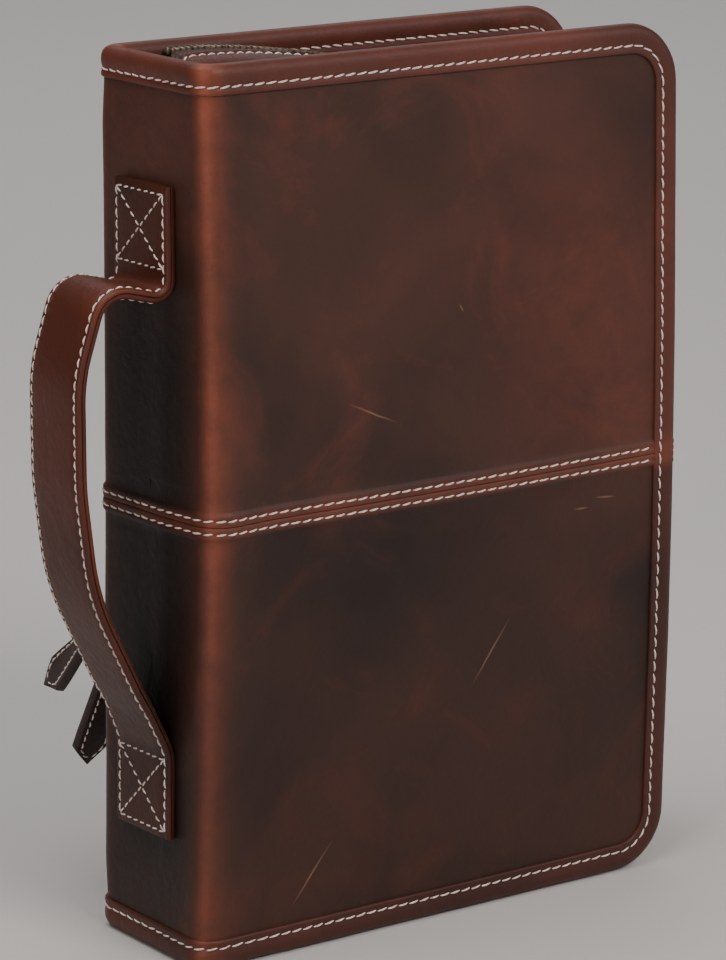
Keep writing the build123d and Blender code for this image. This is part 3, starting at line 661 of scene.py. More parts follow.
# bonded thread, nearly white, with darker lines between its plies
thread_material, tree, shader = new_material("off_white_bonded_thread")
place = add_node(tree, "ShaderNodeTexCoord").outputs["Object"]
ply = add_node(tree, "ShaderNodeTexNoise", {"Vector": place, "Scale": 1600.0, "Detail": 2.0})
tone = add_node(tree, "ShaderNodeValToRGB", {"Fac": ply.outputs[0]})
tone.color_ramp.elements[0].position = 0.3
tone.color_ramp.elements[0].color = srgb("#b79f92")
tone.color_ramp.elements[1].position = 0.62
tone.color_ramp.elements[1].color = srgb("#f1e4dc")
tree.links.new(tone.outputs[0], shader.inputs["Base Color"])
bump = add_node(tree, "ShaderNodeBump", {"Height": ply.outputs[0], "Distance": 0.0002, "Strength": 0.6})
tree.links.new(bump.outputs[0], shader.inputs["Normal"])
shader.inputs["Roughness"].default_value = 0.7


def stitch_points(length, thread):
    """One stitch along X, arched upwards along Z, as rings of points."""
    points = []
    for ring in range(STITCH_RINGS):
        t = ring / (STITCH_RINGS - 1)
        radius = thread * (0.55 + 0.45 * math.sin(math.pi * t))
        lift = thread * (1.5 * math.sin(math.pi * t) - 0.75)
        for step in range(STITCH_AROUND):
            a = 2 * math.pi * step / STITCH_AROUND
            points.append((length * (t - 0.5), radius * math.cos(a), lift + radius * math.sin(a)))
    return np.array(points)


def sew(rows, pitch=STITCH_PITCH, share=0.90, thread=THREAD, slant=8.0, seed=1):
    """Stitches along rows; a row is (points, up) with one up direction or one for each point."""
    dice = random.Random(seed)
    base_faces = ring_faces(STITCH_RINGS, STITCH_AROUND)
    all_points, all_faces = [], []
    for row, ups in rows:
        row = np.asarray(row, float)
        ups = np.broadcast_to(np.asarray(ups, float), row.shape)
        steps = np.linalg.norm(np.diff(row, axis=0), axis=1)
        gone = np.concatenate([[0], np.cumsum(steps)])
        count = max(1, round(gone[-1] / pitch))
        real_pitch = gone[-1] / count
        for index in range(count):
            middle = (index + 0.5) * real_pitch
            # the direction is taken from one hole to the next
            ends = [middle - 0.45 * real_pitch, middle + 0.45 * real_pitch]
            at = np.array([np.interp(middle, gone, row[:, k]) for k in range(3)])
            tips = [np.array([np.interp(e, gone, row[:, k]) for k in range(3)]) for e in ends]
            up = np.array([np.interp(middle, gone, ups[:, k]) for k in range(3)])
            run = tips[1] - tips[0]
            run = run / np.linalg.norm(run)
            cross = np.cross(up, run)
            cross = cross / np.linalg.norm(cross)
            up = np.cross(run, cross)
            angle = math.radians(slant + dice.uniform(-3, 3))
            lay = run * math.cos(angle) + cross * math.sin(angle)
            side_way = cross * math.cos(angle) - run * math.sin(angle)
            shape = stitch_points(real_pitch * share * dice.uniform(0.94, 1.04), thread)
            base = len(all_points) * STITCH_RINGS * STITCH_AROUND
            all_points.append(
                at + shape[:, :1] * lay + shape[:, 1:2] * side_way + shape[:, 2:] * up
            )
            all_faces += [tuple(base + k for k in face) for face in base_faces]
    return np.concatenate(all_points), all_faces


def thread_piece(name, rows, side=None, **options):
    """A piece of thread made of its stitches; a side is given for rows in flat places."""
    points, faces = sew(rows, **options)
    if side is not None:
        points = wrap(points, side)
    piece = make_mesh(name, points, faces)
    piece.data.materials.append(thread_material)
    return piece


# ---- edge binding ---------------------------------------------------------------------------
# A strip of reddish-brown leather folded round the edge of the wall and sewn through it, with
# a soft round rim. It runs round each cover and along the head and the foot of the spine.
STITCH_INSET = 6.4 * MM
SEAM_ROW = 1.95 * MM  # from the seam to each row of stitches beside it

# thinner leather with less wax, so redder and a little glossier than the panels
binding_leather = pull_up_leather(
    "red_brown_binding_leather", "#40241d", "#5e3127", "#6a352a", "#8a4632", roughness=0.44
)
BINDING_PROFILE = [  # in from the edge, depth: the outer leaf, round the rim, the inner leaf
    (8.8, 1.0), (8.8, 0.42), (8.6, 0.16), (8.1, 0.06), (7.4, 0.12), (6.9, 0.30), (6.4, 0.42),
    (5.9, 0.28), (5.0, -0.02), (3.8, -0.16), (2.6, -0.10), (1.5, 0.25), (0.7, 0.95), (0.2, 1.9),
    (0.0, 3.1), (0.2, 4.3), (0.7, 5.25), (1.5, 5.95), (2.6, 6.30), (3.8, 6.36), (5.0, 6.22),
    (5.9, 5.92), (6.4, 5.78), (6.9, 5.90), (7.6, 6.08), (8.6, 6.14), (9.25, 6.04), (9.5, 5.78),
    (9.5, 5.2), (1.0, 5.2), (1.0, 1.0),
]


def outline_stations(inset=0.0):
    """Round the edge from the head of the spine to its foot: places and the way inwards."""
    centre = FORE_EDGE - CORNER_RADIUS
    radius = CORNER_RADIUS - inset
    level = along_stations(0, centre, 4 * MM)
    stations = [(s, HEIGHT - inset, 0, -1) for s in level]
    for a in np.linspace(0, math.pi / 2, 13)[1:]:
        rise = HEIGHT - CORNER_RADIUS + radius * math.cos(a)
        stations.append((centre + radius * math.sin(a), rise, -math.sin(a), -math.cos(a)))
    for rise in np.linspace(HEIGHT - CORNER_RADIUS, CORNER_RADIUS, 58)[1:]:
        stations.append((FORE_EDGE - inset, rise, -1, 0))
    for a in np.linspace(math.pi / 2, 0, 13)[1:]:
        rise = CORNER_RADIUS - radius * math.cos(a)
        stations.append((centre + radius * math.sin(a), rise, -math.sin(a), math.cos(a)))
    stations += [(s, inset, 0, 1) for s in level[::-1][1:]]
    return stations


for side_name, side in SIDES.items():
    strip = sewn_flat(
        f"{side_name}_edge_binding",
        outline_stations(),
        np.array(BINDING_PROFILE) * MM,
        side,
        uv_shift=1.5,
    )
    strip.data.materials.append(binding_leather)
    over_the_fold(strip)
    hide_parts(f"{side_name}_binding")
    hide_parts("spine_binding_top" if side_name == "front" else "spine_binding_bottom")
    seam = np.array([(a, 0, h) for a, h, _, _ in outline_stations(STITCH_INSET)])
    outer_row = seam + np.array([0, 0.30 * MM, 0])
    inner_row = seam + np.array([0, 5.92 * MM, 0])
    rows = thread_piece(
        f"{side_name}_edge_thread",
        [(outer_row, (0, -1, 0)), (inner_row, (0, 1, 0))],
        side,
        seed=3 + side,
    )
    over_the_fold(rows)
    seam_rows = []
    for shift in (-SEAM_ROW, SEAM_ROW):
        seam_rows.append((
            np.array([(s, 0.46 * MM, MIDDLE_Z + shift)
                      for s in along_stations(0.2 * MM, FORE_EDGE - 10.2 * MM)]),
            (0, -1, 0),
        ))
    rows = thread_piece(f"{side_name}_seam_thread", seam_rows, side, seed=11 + side)
    over_the_fold(rows)


# ---- handle -------------------------------------------------------------------------------
# A strap of two plies of the reddish-brown leather, glued flesh to flesh and sewn along both
# edges. Its ends are sewn flat on the spine in a box with a cross, and the middle stands off.
STRAP_PLY = 1.65 * MM
STRAP_HALF = 13.2 * MM
STRAP_STITCH_INSET = 1.7 * MM
STRAP_END_INSET = 2.2 * MM
STRAP_PITCH = 3.3 * MM
STRAP_THREAD = 0.28 * MM
patch_x = SPINE_X + BINDING_LEAF - STRAP_PLY
STRAP_ROUTE = [
    (patch_x, 0.230), (patch_x, 0.1976), (SPINE_X - 0.0225, 0.2032), (SPINE_X - 0.0308, 0.178),
    (SPINE_X - 0.0308, 0.146), (SPINE_X - 0.027, 0.114), (SPINE_X - 0.012, 0.083),
    (patch_x, 0.063), (patch_x, 0.037),
]
STRAP_RADII = [0.0045, 0.009, 0.045, 0.090, 0.070, 0.060, 0.012]


def rounded_route(corners, radii, step):
    """A line with rounded corners as places and directions, a step apart."""
    corners = [np.array(c, float) for c in corners]
    pieces = []
    here = corners[0]
    for before, corner, after, radius in zip(corners, corners[1:], corners[2:], radii):
        into = (corner - before) / np.linalg.norm(corner - before)
        out = (after - corner) / np.linalg.norm(after - corner)
        turn = math.acos(max(-1, min(1, float(into @ out))))
        reach = radius * math.tan(turn / 2)
        hand = math.copysign(1, into[0] * out[1] - into[1] * out[0])
        centre = corner - into * reach + hand * radius * np.array([-into[1], into[0]])
        pieces.append(("run", here, corner - into * reach, into))
        pieces.append(("arc", centre, radius, into, hand, turn))
        here = corner + out * reach
    last = corners[-1] - here
    pieces.append(("run", here, corners[-1], last / np.linalg.norm(last)))
    places, ways = [], []
    for piece in pieces:
        if piece[0] == "run":
            _, start, end, way = piece
            count = max(1, math.ceil(np.linalg.norm(end - start) / step))
            for i in range(count):
                places.append(start + (end - start) * i / count)
                ways.append(way)
        else:
            _, centre, radius, way, hand, turn = piece
            count = max(2, math.ceil(radius * turn / step), math.ceil(turn / 0.14))
            for i in range(count):
                angle = hand * turn * i / count
                c, d = math.cos(angle), math.sin(angle)
                heading = np.array([c * way[0] - d * way[1], d * way[0] + c * way[1]])
                places.append(centre - hand * radius * np.array([-heading[1], heading[0]]))
                ways.append(heading)
    places.append(corners[-1])
    ways.append(last / np.linalg.norm(last))
    return np.array(places), np.array(ways)


strap_places, strap_ways = rounded_route(STRAP_ROUTE, STRAP_RADII, 2.2 * MM)
strap_gone = np.concatenate([[0], np.cumsum(np.linalg.norm(np.diff(strap_places, axis=0), axis=1))])
# waxed leather of the same tannage as the binding, polished by the hand
handle_leather = pull_up_leather(
    "red_brown_strap_leather", "#3a1b13", "#5c2c1e", "#703424", "#8a4632", roughness=0.42
)


def on_strap(gone, across, lift):
    """A point on the strap: how far along, across, and out from its middle line."""
    x = np.interp(gone, strap_gone, strap_places[:, 0])
    z = np.interp(gone, strap_gone, strap_places[:, 1])
    way = np.array([np.interp(gone, strap_gone, strap_ways[:, k]) for k in (0, 1)])
    way = way / np.linalg.norm(way)
    # going down the route, the outside of the strap is on its right hand
    x, z = x + lift * way[1], z - lift * way[0]
    place = settle(np.array([[x, across, z]]))[0]
    return place, np.array([way[1], 0, -way[0]])


def strap_profile(outer):
    """Across and out from the middle line: a flat strip with rolled edges and sewn-down margins."""
    half, ply = STRAP_HALF / MM, STRAP_PLY / MM
    row = half - STRAP_STITCH_INSET / MM
    top = [
        (half, 0.25), (half, 0.9), (half - 0.25, 1.35), (half - 0.8, ply), (row + 0.5, ply - 0.05),
        (row, ply - 0.22), (row - 0.6, ply - 0.02), (row - 3.5, ply + 0.12), (0.0, ply + 0.18),
    ]
    ring = top + [(-a, d) for a, d in top[-2::-1]]
    ring = [(a, d) for a, d in ring] + [(-half + 0.3, 0.02), (half - 0.3, 0.02)]
    turn = 1 if outer else -1
    return [(a * MM, d * turn * MM) for a, d in ring]


# how dark the painted shade on the strap is: shares of its length from its upper end, and the tone
STRAP_PAINTED_SHADE = ((0, 0.12, 0.2, 0.5, 0.8, 1), (0.42, 0.34, 0.0, 0.10, 0.42, 0.42))
STRAP_RINGS = 150
strap_length = strap_gone[-1]
for ply_name, outer in (("outer", True), ("inner", False)):
    profile = strap_profile(outer)
    rings, uvs, strap_shade = [], [], []
    for gone in np.linspace(0, strap_length, STRAP_RINGS):
        # the cut ends are rounded over
        from_end = min(gone, strap_length - gone)
        pinch = 1.0 if from_end > 0.6 * MM else 0.72 + 0.28 * from_end / (0.6 * MM)
        for across, lift in profile:
            place, _ = on_strap(gone, across, lift * pinch)
            rings.append(place)
            uvs.append((gone + 2.2, across + (0.1 if outer else 0.3) + 0.5 * lift))
            strap_shade.append(np.interp(gone / strap_length, *STRAP_PAINTED_SHADE))
    ply = make_mesh(
        f"handle_strap_{ply_name}", rings, ring_faces(STRAP_RINGS, len(profile)), uvs,
        handled=strap_shade,
    )
    ply.data.materials.append(handle_leather)
    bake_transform(ply)
    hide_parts(f"handle_ends_{ply_name}", f"handle_arch_{ply_name}")


def strap_row(corners, lift, step=1.5 * MM):
    """A stitch row over the strap through corners given as (along, across)."""
    points, ups = [], []
    for (g0, a0), (g1, a1) in zip(corners, corners[1:]):
        count = max(2, math.ceil(math.hypot(g1 - g0, a1 - a0) / step))
        for i in range(count + 1):
            t = i / count
            place, up = on_strap(g0 + (g1 - g0) * t, a0 + (a1 - a0) * t, lift)
            points.append(place)
            ups.append(up * math.copysign(1, lift))
    return points, ups


edge = STRAP_HALF - STRAP_STITCH_INSET
first, last = STRAP_END_INSET, strap_length - STRAP_END_INSET
patch_top_end = 23.6 * MM
patch_bottom_start = strap_length - 24.5 * MM
face = STRAP_PLY - 0.1 * MM
strap_rows = [strap_row([(first, side * edge), (last, side * edge)], face) for side in (-1, 1)]
strap_rows += [
    strap_row([(16 * MM, side * edge), (strap_length - 26 * MM, side * edge)], -face)
    for side in (-1, 1)
]
for low, high in ((first, patch_top_end), (patch_bottom_start, last)):
    strap_rows.append(strap_row([(low, -edge), (low, edge)], face + 0.12 * MM))
    strap_rows.append(strap_row([(high, -edge), (high, edge)], face + 0.12 * MM))
    strap_rows.append(strap_row([(low, -edge), (high, edge)], face + 0.15 * MM))
    strap_rows.append(strap_row([(low, edge), (high, -edge)], face + 0.15 * MM))
strap_thread = thread_piece(
    "handle_thread", strap_rows, pitch=STRAP_PITCH, thread=STRAP_THREAD, seed=21
)
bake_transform(strap_thread)

# ---- gusset -------------------------------------------------------------------------------
# A soft strip of the same leather runs round inside each rim and carries the zip. It is
# gathered into pleats where it rises to the spine, and sags a little between its seams.
ZIP_START = 10.0 * MM
ZIP_RECESS = 10.0 * MM  # below the covers' edges, on all three sides
HUMP = 9.5 * MM
HUMP_CREST = 16 * MM  # from the spine's face
HUMP_RUN = 100 * MM
LEAN = 6 * MM
GUSSET_ROW = (9.3 * MM, 1.38 * MM)  # from the middle plane, above the zip tape
GUSSET_PITCH = 3.2 * MM
GUSSET_THREAD = 0.28 * MM
zip_start_x = SPINE_X + ZIP_START
zip_end_x = SPINE_X + 7 * MM
zip_fore = FORE_X - ZIP_RECESS
zip_top = HEIGHT - ZIP_RECESS
zip_corner = CORNER_RADIUS - ZIP_RECESS
zip_places, zip_ways = rounded_route(
    [
        (zip_start_x, ZIP_RECESS), (zip_fore, ZIP_RECESS), (zip_fore, zip_top), (zip_end_x, zip_top),
    ],
    [zip_corner, zip_corner],
    1.1 * MM,
)
zip_gone = np.concatenate([[0], np.cumsum(np.linalg.norm(np.diff(zip_places, axis=0), axis=1))])


def hump(x):
    """Rise of the zip over its level run, highest beside the head of the spine."""
    # it falls slowly to the fore edge, and dips beside the spine before it ends
    crest = SPINE_X + HUMP_CREST
    fall = np.clip((x - crest) / HUMP_RUN, 0, 1)
    back = np.clip((crest - x) / (9 * MM), 0, 1)
    end = np.clip((SPINE_X + 11.5 * MM - x) / (4.5 * MM), 0, 1)
    return HUMP * (0.5 + 0.5 * np.cos(np.pi * fall)) ** 1.3 - 0.8 * MM * back**2 - 7 * MM * end**2


def zip_point(gone, across, lift):
    """A point of the gusset or zip: along the route, from the middle plane, above the tape."""
    x = np.interp(gone, zip_gone, zip_places[:, 0])
    z = np.interp(gone, zip_gone, zip_places[:, 1])
    way = np.array([np.interp(gone, zip_gone, zip_ways[:, k]) for k in (0, 1)])
    way = way / np.linalg.norm(way)
    if z > MIDDLE_Z:
        # the dome leans to the back, and falls gently to the front rim and steeply to the back one
        fall = (-across - 4.5 * MM) / (18 * MM) if across < 0 else (across - 0.5 * MM) / (17 * MM)
        level = 1 - np.clip(fall, 0, 1)
        rise = hump(x)
        z += rise * level * level * (3 - 2 * level)
        across += LEAN * max(rise, 0) / HUMP * (1 - min(1, abs(across) / (22.3 * MM)) ** 2)
    return np.array([x + lift * way[1], across, z - lift * way[0]])


# thin soft leather, dyed through, whose gathers catch the light
gusset_leather = pull_up_leather(
    "soft_gusset_leather", "#2a130f", "#4c2219", "#602b1e", "#84432f", roughness=0.42, grain=0.8
)
GUSSET_PROFILE = [  # from the middle plane, above the zip tape
    (7.9, 0.5), (7.8, 1.0), (7.95, 1.5), (8.4, 1.72), (8.9, 1.5), (9.3, 1.3), (9.9, 1.62),
    (12.6, 1.6), (13.8, 1.45), (15.2, 1.2), (17.2, 1.0), (19.4, 1.1), (21.2, 1.5), (22.2, 2.0),
    (22.2, 0.8), (21.0, 0.35), (17.2, -0.15), (15.4, 0.05), (13.0, 0.32), (10.0, 0.32),
]


def pleats(gone, across):
    """Height of the gathers, which fan out from the sewn edge near the spine's head."""
    from_head = zip_gone[-1] - gone
    # gathers beside the head only, and a slight unevenness all along
    near_head = np.exp(-(((from_head - 20 * MM) / (17 * MM)) ** 2))
    general = 0.22 * noise.noise(Vector((gone * 62, across * 40, 1.0)))
    fan = np.clip((across - 11.5 * MM) / (4 * MM), 0, 1) * np.clip((22.4 * MM - across) / (2 * MM), 0, 1)
    gathers = math.sin(from_head * (1 + 6 * (across - 11 * MM)) * 2 * math.pi / (5.2 * MM))
    return (0.62 * near_head * gathers * fan + general * fan) * MM


for side_name, side in SIDES.items():
    rings, uvs = [], []
    for gone in zip_gone:
        for across, lift in GUSSET_PROFILE:
            rise = lift * MM + pleats(gone + 0.4 * side, across * MM)
            rings.append(zip_point(gone, side * across * MM, rise))
            uvs.append((gone + 3.1, across * MM + 0.4 * side))
    gusset = make_mesh(
        f"{side_name}_gusset_leather", rings, ring_faces(len(zip_places), len(GUSSET_PROFILE)), uvs
    )
    gusset.data.materials.append(gusset_leather)
    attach(gusset, f"{side_name}_cover")
    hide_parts(f"{side_name}_gusset")
    row = [zip_point(gone, side * GUSSET_ROW[0], GUSSET_ROW[1]) for gone in zip_gone[2:-2]]
    ups = [(way[1], 0, -way[0]) for way in zip_ways[2:-2]]
    rows = thread_piece(
        f"{side_name}_gusset_thread", [(row, ups)], pitch=GUSSET_PITCH, thread=GUSSET_THREAD,
        seed=31 + side,
    )
    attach(rows, f"{side_name}_cover")

# ---- zips ---------------------------------------------------------------------------------
# Woven tape with cast brass teeth clamped on its edge, and brass sliders with a wire ring.

# cast brass in a dulled old finish, paler where it is rubbed
brass, tree, shader = new_material("antique_brass")
place = add_node(tree, "ShaderNodeTexCoord").outputs["Object"]
tarnish = add_node(tree, "ShaderNodeTexNoise", {"Vector": place, "Scale": 260.0, "Detail": 5.0})
tone = add_node(tree, "ShaderNodeValToRGB", {"Fac": tarnish.outputs[0]})
tone.color_ramp.elements[0].position = 0.36
tone.color_ramp.elements[0].color = srgb("#8a7768")
tone.color_ramp.elements[1].position = 0.66
tone.color_ramp.elements[1].color = srgb("#e0cfbd")
tree.links.new(tone.outputs[0], shader.inputs["Base Color"])
shader.inputs["Metallic"].default_value = 1.0
rough = add_node(tree, "ShaderNodeMapRange", {
    "Value": tarnish.outputs[0], "To Min": 0.42, "To Max": 0.26,
})
tree.links.new(rough.outputs[0], shader.inputs["Roughness"])
bump = add_node(
    tree, "ShaderNodeBump", {"Height": tarnish.outputs[0], "Distance": 0.0001, "Strength": 0.3}
)
tree.links.new(bump.outputs[0], shader.inputs["Normal"])

# woven polyester, matt, with ribs along and across, drawn coarser than real to show
tape_cloth, tree, shader = new_material("woven_zip_tape")
place = add_node(tree, "ShaderNodeTexCoord").outputs["UV"]
ribs = add_node(tree, "ShaderNodeTexWave", {"Vector": place, "Scale": 190.0}, bands_direction="X")
rows_across = add_node(
    tree, "ShaderNodeTexWave", {"Vector": place, "Scale": 190.0}, bands_direction="Y"
)
weave = add_node(
    tree, "ShaderNodeMath", {0: ribs.outputs["Fac"], 1: rows_across.outputs["Fac"]}, operation="MULTIPLY"
)
tone = add_node(tree, "ShaderNodeValToRGB", {"Fac": weave.outputs[0]})
tone.color_ramp.elements[0].color = srgb("#2b1a15")
tone.color_ramp.elements[1].color = srgb("#5a3e33")
tree.links.new(tone.outputs[0], shader.inputs["Base Color"])
bump = add_node(
    tree, "ShaderNodeBump", {"Height": weave.outputs[0], "Distance": 0.0003, "Strength": 0.7}
)
tree.links.new(bump.outputs[0], shader.inputs["Normal"])
shader.inputs["Roughness"].default_value = 0.8


def softened(node, material, width, segments=2):
    """A copy of a hard-edged piece with its edges rounded over, which stands for it."""
    members = frame["record"]["behaviour"]["bodies"]
    body = next(name for name, nodes in members.items() if node in nodes)
    source = bpy.data.objects[node]
    piece = bpy.data.objects.new(f"{node}_finished", source.data.copy())
    bpy.context.scene.collection.objects.link(piece)
    piece.data.materials.clear()
    piece.data.materials.append(material)
    bpy.ops.object.select_all(action="DESELECT")
    piece.select_set(True)
    bpy.context.view_layer.objects.active = piece
    bpy.ops.object.mode_set(mode="EDIT")
    bpy.ops.mesh.select_all(action="SELECT")
    bpy.ops.mesh.remove_doubles(threshold=0.00001)
    bpy.ops.mesh.dissolve_limited(angle_limit=math.radians(3))
    bpy.ops.object.mode_set(mode="OBJECT")
    round_over = piece.modifiers.new("edges", "BEVEL")
    round_over.width = width
    round_over.segments = segments
    round_over.limit_method = "ANGLE"
    round_over.angle_limit = math.radians(30)
    bpy.ops.object.modifier_apply(modifier=round_over.name)
    bpy.ops.object.shade_smooth_by_angle(angle=math.radians(40))
    piece.select_set(False)
    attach(piece, body)
    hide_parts(node)
    return piece


TAPE_PROFILE = [  # across from the middle plane, above the tape's middle
    (2.9, -0.3), (2.9, 0.3), (5.5, 0.3), (15.0, 0.3), (15.0, -0.3), (5.5, -0.3),
]
TOOTH_SHAPE = [  # across the zip, along it: a body clamped on the tape and a narrower head
    (2.9, -0.55), (1.6, -0.62), (1.1, -0.45), (0.4, -0.42), (0.4, 0.42), (1.1, 0.45), (1.6, 0.62),
    (2.9, 0.55),
]
TOOTH_MIDDLE = 1.65  # about which a tooth narrows to its two faces
TOOTH_LAYERS = ((-1.0, 0.72), (-0.7, 1.0), (0.7, 1.0), (1.0, 0.72))  # share of height, of outline
TOOTH_HALF_HEIGHT = 1.1 * MM
TOOTH_PITCH = 2.0 * MM
FIRST_TOOTH = 16.3 * MM
for side_name, side in SIDES.items():
    rings, uvs = [], []
    for gone in zip_gone:
        for across, lift in TAPE_PROFILE:
            rings.append(zip_point(gone, side * across * MM, lift * MM))
            uvs.append((gone, across * MM))
    tape = make_mesh(f"{side_name}_tape", rings, ring_faces(len(zip_gone), len(TAPE_PROFILE)), uvs)
    tape.data.materials.append(tape_cloth)
    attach(tape, f"{side_name}_cover")
    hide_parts(f"{side_name}_zip_tape")
    points, faces = [], []
    count = int((zip_gone[-1] - FIRST_TOOTH - 3 * MM) / TOOTH_PITCH)
    for index in range(count):
        gone = FIRST_TOOTH + (index + 0.25 * (1 + side)) * TOOTH_PITCH
        base = len(points)
        for height, shrink in TOOTH_LAYERS:
            for across, run in TOOTH_SHAPE:
                points.append(zip_point(
                    gone + run * shrink * MM,
                    side * (TOOTH_MIDDLE + (across - TOOTH_MIDDLE) * shrink) * MM,
                    height * TOOTH_HALF_HEIGHT,
                ))
        faces += [
            tuple(base + k for k in face)
            for face in ring_faces(len(TOOTH_LAYERS), len(TOOTH_SHAPE))
        ]
    teeth = make_mesh(f"{side_name}_teeth", points, faces)
    teeth.data.materials.append(brass)
    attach(teeth, f"{side_name}_cover")
    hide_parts(f"{side_name}_zip_teeth")
softened("pocket_zip_tapes", tape_cloth, 0.15 * MM, 1)
softened("pocket_zip_teeth", brass, 0.3 * MM, 1)
softened("pocket_zip_stops", brass, 0.3 * MM)
softened("main_slider", brass, 0.22 * MM)
softened("main_pull_ring", brass, 0.5 * MM, 3)
for level in ("upper", "lower"):
    softened(f"{level}_pocket_slider", brass, 0.14 * MM)
    softened(f"{level}_pull_ring", brass, 0.5 * MM, 3)

# ---- pull tabs ----------------------------------------------------------------------------
# Each pull is a strip of leather folded round the ring and sewn to itself all round, cut to
# a point at its end. The two on the pocket zip have gone limp, and the upper one twists.
# leather of the panels, made darker: painted shade for the shadow the tabs hang in
shaded_tab_leather = pull_up_leather(
    "dark_tab_leather", "#241816", "#3a2722", "#5a3026", "#7a4030", roughness=0.5
)
TAB_OUTLINE = [  # along from the ring's near bar, half width
    (5.15, 3.2), (6.4, 3.2), (11.2, 3.2), (13.2, 5.25), (24.0, 5.5), (36.0, 5.75), (47.0, 6.0),
    (53.5, 6.0), (55.3, 4.7), (57.3, 3.1), (59.4, 1.3), (60.6, 0.35),
]
TAB_HALF = 1.65 * MM
TAB_NECK = 12 * MM  # past which it twists
TAB_STITCH_INSET = 1.9 * MM
TAB_PITCH = 3.0 * MM
TAB_THREAD = 0.27 * MM
TAB_PROFILE = [  # shares of the half width and the half thickness, all round
    (1.0, 0.0), (1.0, 0.62), (0.93, 0.92), (0.80, 0.98), (0.66, 0.84), (0.5, 1.0), (0.0, 1.06),
    (-0.5, 1.0), (-0.66, 0.84), (-0.80, 0.98), (-0.93, 0.92), (-1.0, 0.62), (-1.0, 0.0),
    (-1.0, -0.62), (-0.93, -0.92), (-0.80, -0.98), (-0.66, -0.84), (-0.5, -1.0), (0.0, -1.06),
    (0.5, -1.0), (0.66, -0.84), (0.80, -0.98), (0.93, -0.92), (1.0, -0.62),
]


def pull_tab(name, body, pivot, along, across, length, twist):
    """A sewn tab that starts at a ring and twists along its length."""
    pivot, along, across = np.array(pivot), np.array(along, float), np.array(across, float)
    face = np.cross(across, along)
    marks = np.array(TAB_OUTLINE)
    stretch = length / (marks[-1, 0] * MM)

    def at(v, u, w):
        share = max(0.0, (v - TAB_NECK) / (length - TAB_NECK))
        angle = twist * share**0.7
        c, d = math.cos(angle), math.sin(angle)
        return pivot + along * v + across * (u * c - w * d) + face * (u * d + w * c)

    def width_at(v):
        return np.interp(v / stretch / MM, marks[:, 0], marks[:, 1]) * MM

    places = []
    for (v0, _), (v1, _) in zip(TAB_OUTLINE, TAB_OUTLINE[1:]):
        count = max(1, round((v1 - v0) / 1.6))
        places += [v0 + (v1 - v0) * i / count for i in range(count)]
    places.append(TAB_OUTLINE[-1][0])
    rings, uvs = [], []
    for v in places:
        v = v * MM * stretch
        half = width_at(v)
        thin = 0.55 if v < 6.3 * MM else 1.0
        for u, w in TAB_PROFILE:
            rings.append(at(v, u * half, w * TAB_HALF * thin))
            uvs.append((v + 4.0, u * half + 0.3 * math.copysign(1, w)))
    tab = make_mesh(f"{name}_leather", rings, ring_faces(len(places), len(TAB_PROFILE)), uvs)
    tab.data.materials.append(shaded_tab_leather)
    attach(tab, body)
    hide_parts(name)
    rows = []
    start, end = 12.2 * MM, length - 3.2 * MM
    for turned in (1, -1):
        line = [(v, -1) for v in np.linspace(start, end, 34)]
        line += [(v, 1) for v in np.linspace(end, start, 34)]
        points, ups = [], []
        for v, hand in line:
            u = hand * max(0.0, width_at(v) - TAB_STITCH_INSET)
            here = at(v, u, turned * TAB_HALF * 0.9)
            over = at(v, u, turned * TAB_HALF * 2)
            points.append(here)
            ups.append(over - here)
        rows.append((points, np.array(ups) / MM))
    thread = thread_piece(
        f"{name}_thread", rows, pitch=TAB_PITCH, thread=TAB_THREAD, seed=len(name)
    )
    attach(thread, body)


MAIN_TAB_LENGTH = 43.6 * MM
PIVOT_HEIGHT = 4.9 * MM
pocket_y = HALF - BINDING_LEAF - LEATHER - 0.3 * MM
pocket_x = SPINE_X + 12.5 * MM
# for each tab on the pocket zip: its height, its lean off the cover, its twist and its length
for level, height, angle, twist, length in (
    ("upper", 100.5, 50.0, 1.45, 64.0), ("lower", 91.0, 29.0, 0.0, 58.4),
):
    lean = math.radians(angle)
    pull_tab(
        f"{level}_pull_tab",
        f"{level}_pull",
        (pocket_x, pocket_y + PIVOT_HEIGHT, height * MM),
        (0, math.sin(lean), -math.cos(lean)),
        (1, 0, 0),
        length * MM,
        twist,
    )
pull_tab(
    "main_pull_tab",
    "main_pull",
    (SPINE_X + 18 * MM, 0, ZIP_RECESS - 4.6 * MM),
    (1, 0, 0),
    (0, 1, 0),
    MAIN_TAB_LENGTH,
    0.0,
)

# ---- sleeves and book ---------------------------------------------------------------------
# A soft leather sleeve inside each cover takes a board of the book. The book has black bonded
# leather over its boards, thin pages, striped headbands and a satin marker.
# smooth leather, dull and even
sleeve_leather = pull_up_leather(
    "smooth_sleeve_leather", "#3a231c", "#4d2f25", "#5f3527", "#7a4030", coords="Object", roughness=0.55
)

# bonded leather embossed with a fine pebble grain, black with a low sheen
book_leather, tree, shader = new_material("black_bonded_leather")
place = add_node(tree, "ShaderNodeTexCoord").outputs["Object"]
pebble = add_node(tree, "ShaderNodeTexVoronoi", {"Vector": place, "Scale": 1100.0})
bump = add_node(
    tree, "ShaderNodeBump", {"Height": pebble.outputs["Distance"], "Distance": 0.0001, "Strength": 0.4}
)
tree.links.new(bump.outputs[0], shader.inputs["Normal"])
tone = add_node(tree, "ShaderNodeValToRGB", {"Fac": pebble.outputs["Distance"]})
tone.color_ramp.elements[0].color = srgb("#1d1b1b")
tone.color_ramp.elements[1].color = srgb("#121111")
tree.links.new(tone.outputs[0], shader.inputs["Base Color"])
shader.inputs["Roughness"].default_value = 0.45

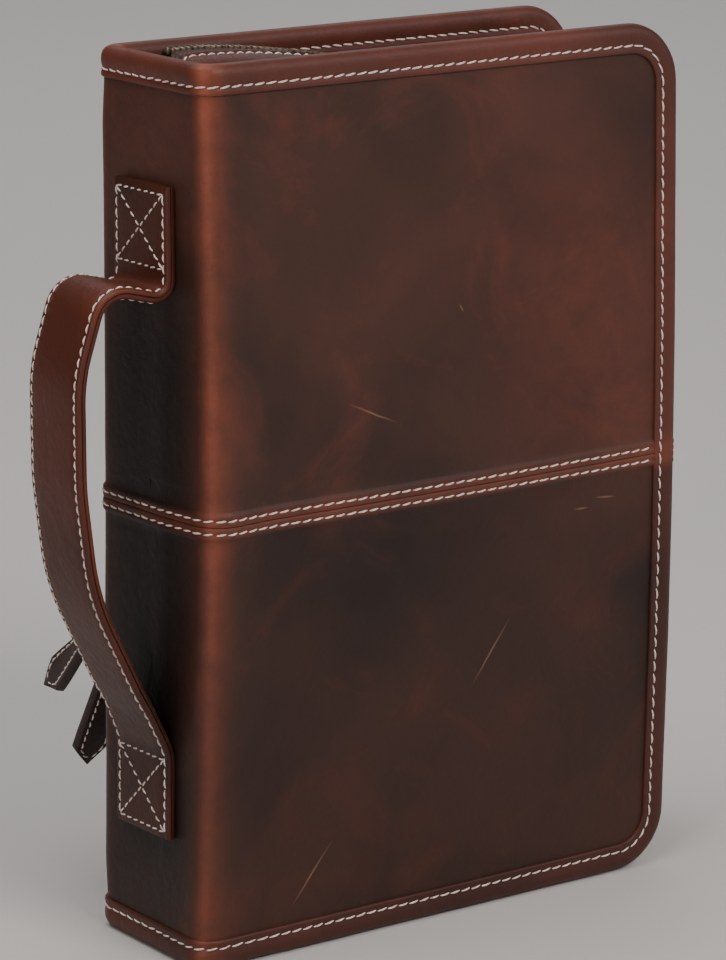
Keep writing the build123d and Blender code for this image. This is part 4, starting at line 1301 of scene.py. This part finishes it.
# thin uncoated paper, cream, whose leaves show as fine uneven lines on the edges
page_paper, tree, shader = new_material("thin_page_paper")
place = add_node(tree, "ShaderNodeTexCoord").outputs["Object"]
leaves = add_node(tree, "ShaderNodeTexWave", {
    "Vector": place, "Scale": 420.0, "Distortion": 1.5, "Detail": 2.0, "Detail Scale": 0.6,
}, bands_direction="Y")
tone = add_node(tree, "ShaderNodeValToRGB", {"Fac": leaves.outputs["Fac"]})
tone.color_ramp.elements[0].color = srgb("#c9bda4")
tone.color_ramp.elements[1].color = srgb("#efe7d6")
tree.links.new(tone.outputs[0], shader.inputs["Base Color"])
bump = add_node(
    tree, "ShaderNodeBump", {"Height": leaves.outputs["Fac"], "Distance": 0.0002, "Strength": 0.5}
)
tree.links.new(bump.outputs[0], shader.inputs["Normal"])
shader.inputs["Roughness"].default_value = 0.75

# cotton bands woven in red and cream stripes
band_cloth, tree, shader = new_material("striped_headband_cloth")
place = add_node(tree, "ShaderNodeTexCoord").outputs["Object"]
stripes = add_node(tree, "ShaderNodeTexWave", {"Vector": place, "Scale": 160.0}, bands_direction="Y")
tone = add_node(tree, "ShaderNodeValToRGB", {"Fac": stripes.outputs["Fac"]})
tone.color_ramp.elements[0].color = srgb("#6d2a22")
tone.color_ramp.elements[1].color = srgb("#e8dcc4")
tree.links.new(tone.outputs[0], shader.inputs["Base Color"])
shader.inputs["Roughness"].default_value = 0.7

# satin weave, whose long threads give the shine a direction
satin, tree, shader = new_material("woven_satin_ribbon")
place = add_node(tree, "ShaderNodeTexCoord").outputs["Object"]
threads = add_node(tree, "ShaderNodeTexWave", {"Vector": place, "Scale": 700.0}, bands_direction="X")
tone = add_node(tree, "ShaderNodeValToRGB", {"Fac": threads.outputs["Fac"]})
tone.color_ramp.elements[0].color = srgb("#5c1a1a")
tone.color_ramp.elements[1].color = srgb("#7e2826")
tree.links.new(tone.outputs[0], shader.inputs["Base Color"])
shader.inputs["Roughness"].default_value = 0.35
shader.inputs["Anisotropic"].default_value = 0.5

for side_name in SIDES:
    softened(f"{side_name}_sleeve", sleeve_leather, 0.35 * MM)
for node, slot, material, width in (
    ("book_front_board", "book_cover", book_leather, 0.6 * MM),
    ("book_back_board", "book_cover", book_leather, 0.6 * MM),
    ("book_spine", "book_cover", book_leather, 0.7 * MM),
    ("book_pages", "page_paper", page_paper, 0.2 * MM),
    ("book_headbands", "headband_cloth", band_cloth, 0.5 * MM),
):
    softened(node, material, width)
for node, material in (("book_flyleaves", page_paper), ("book_ribbon", satin)):
    mesh = bpy.data.objects[node].data
    mesh.materials.clear()
    mesh.materials.append(material)
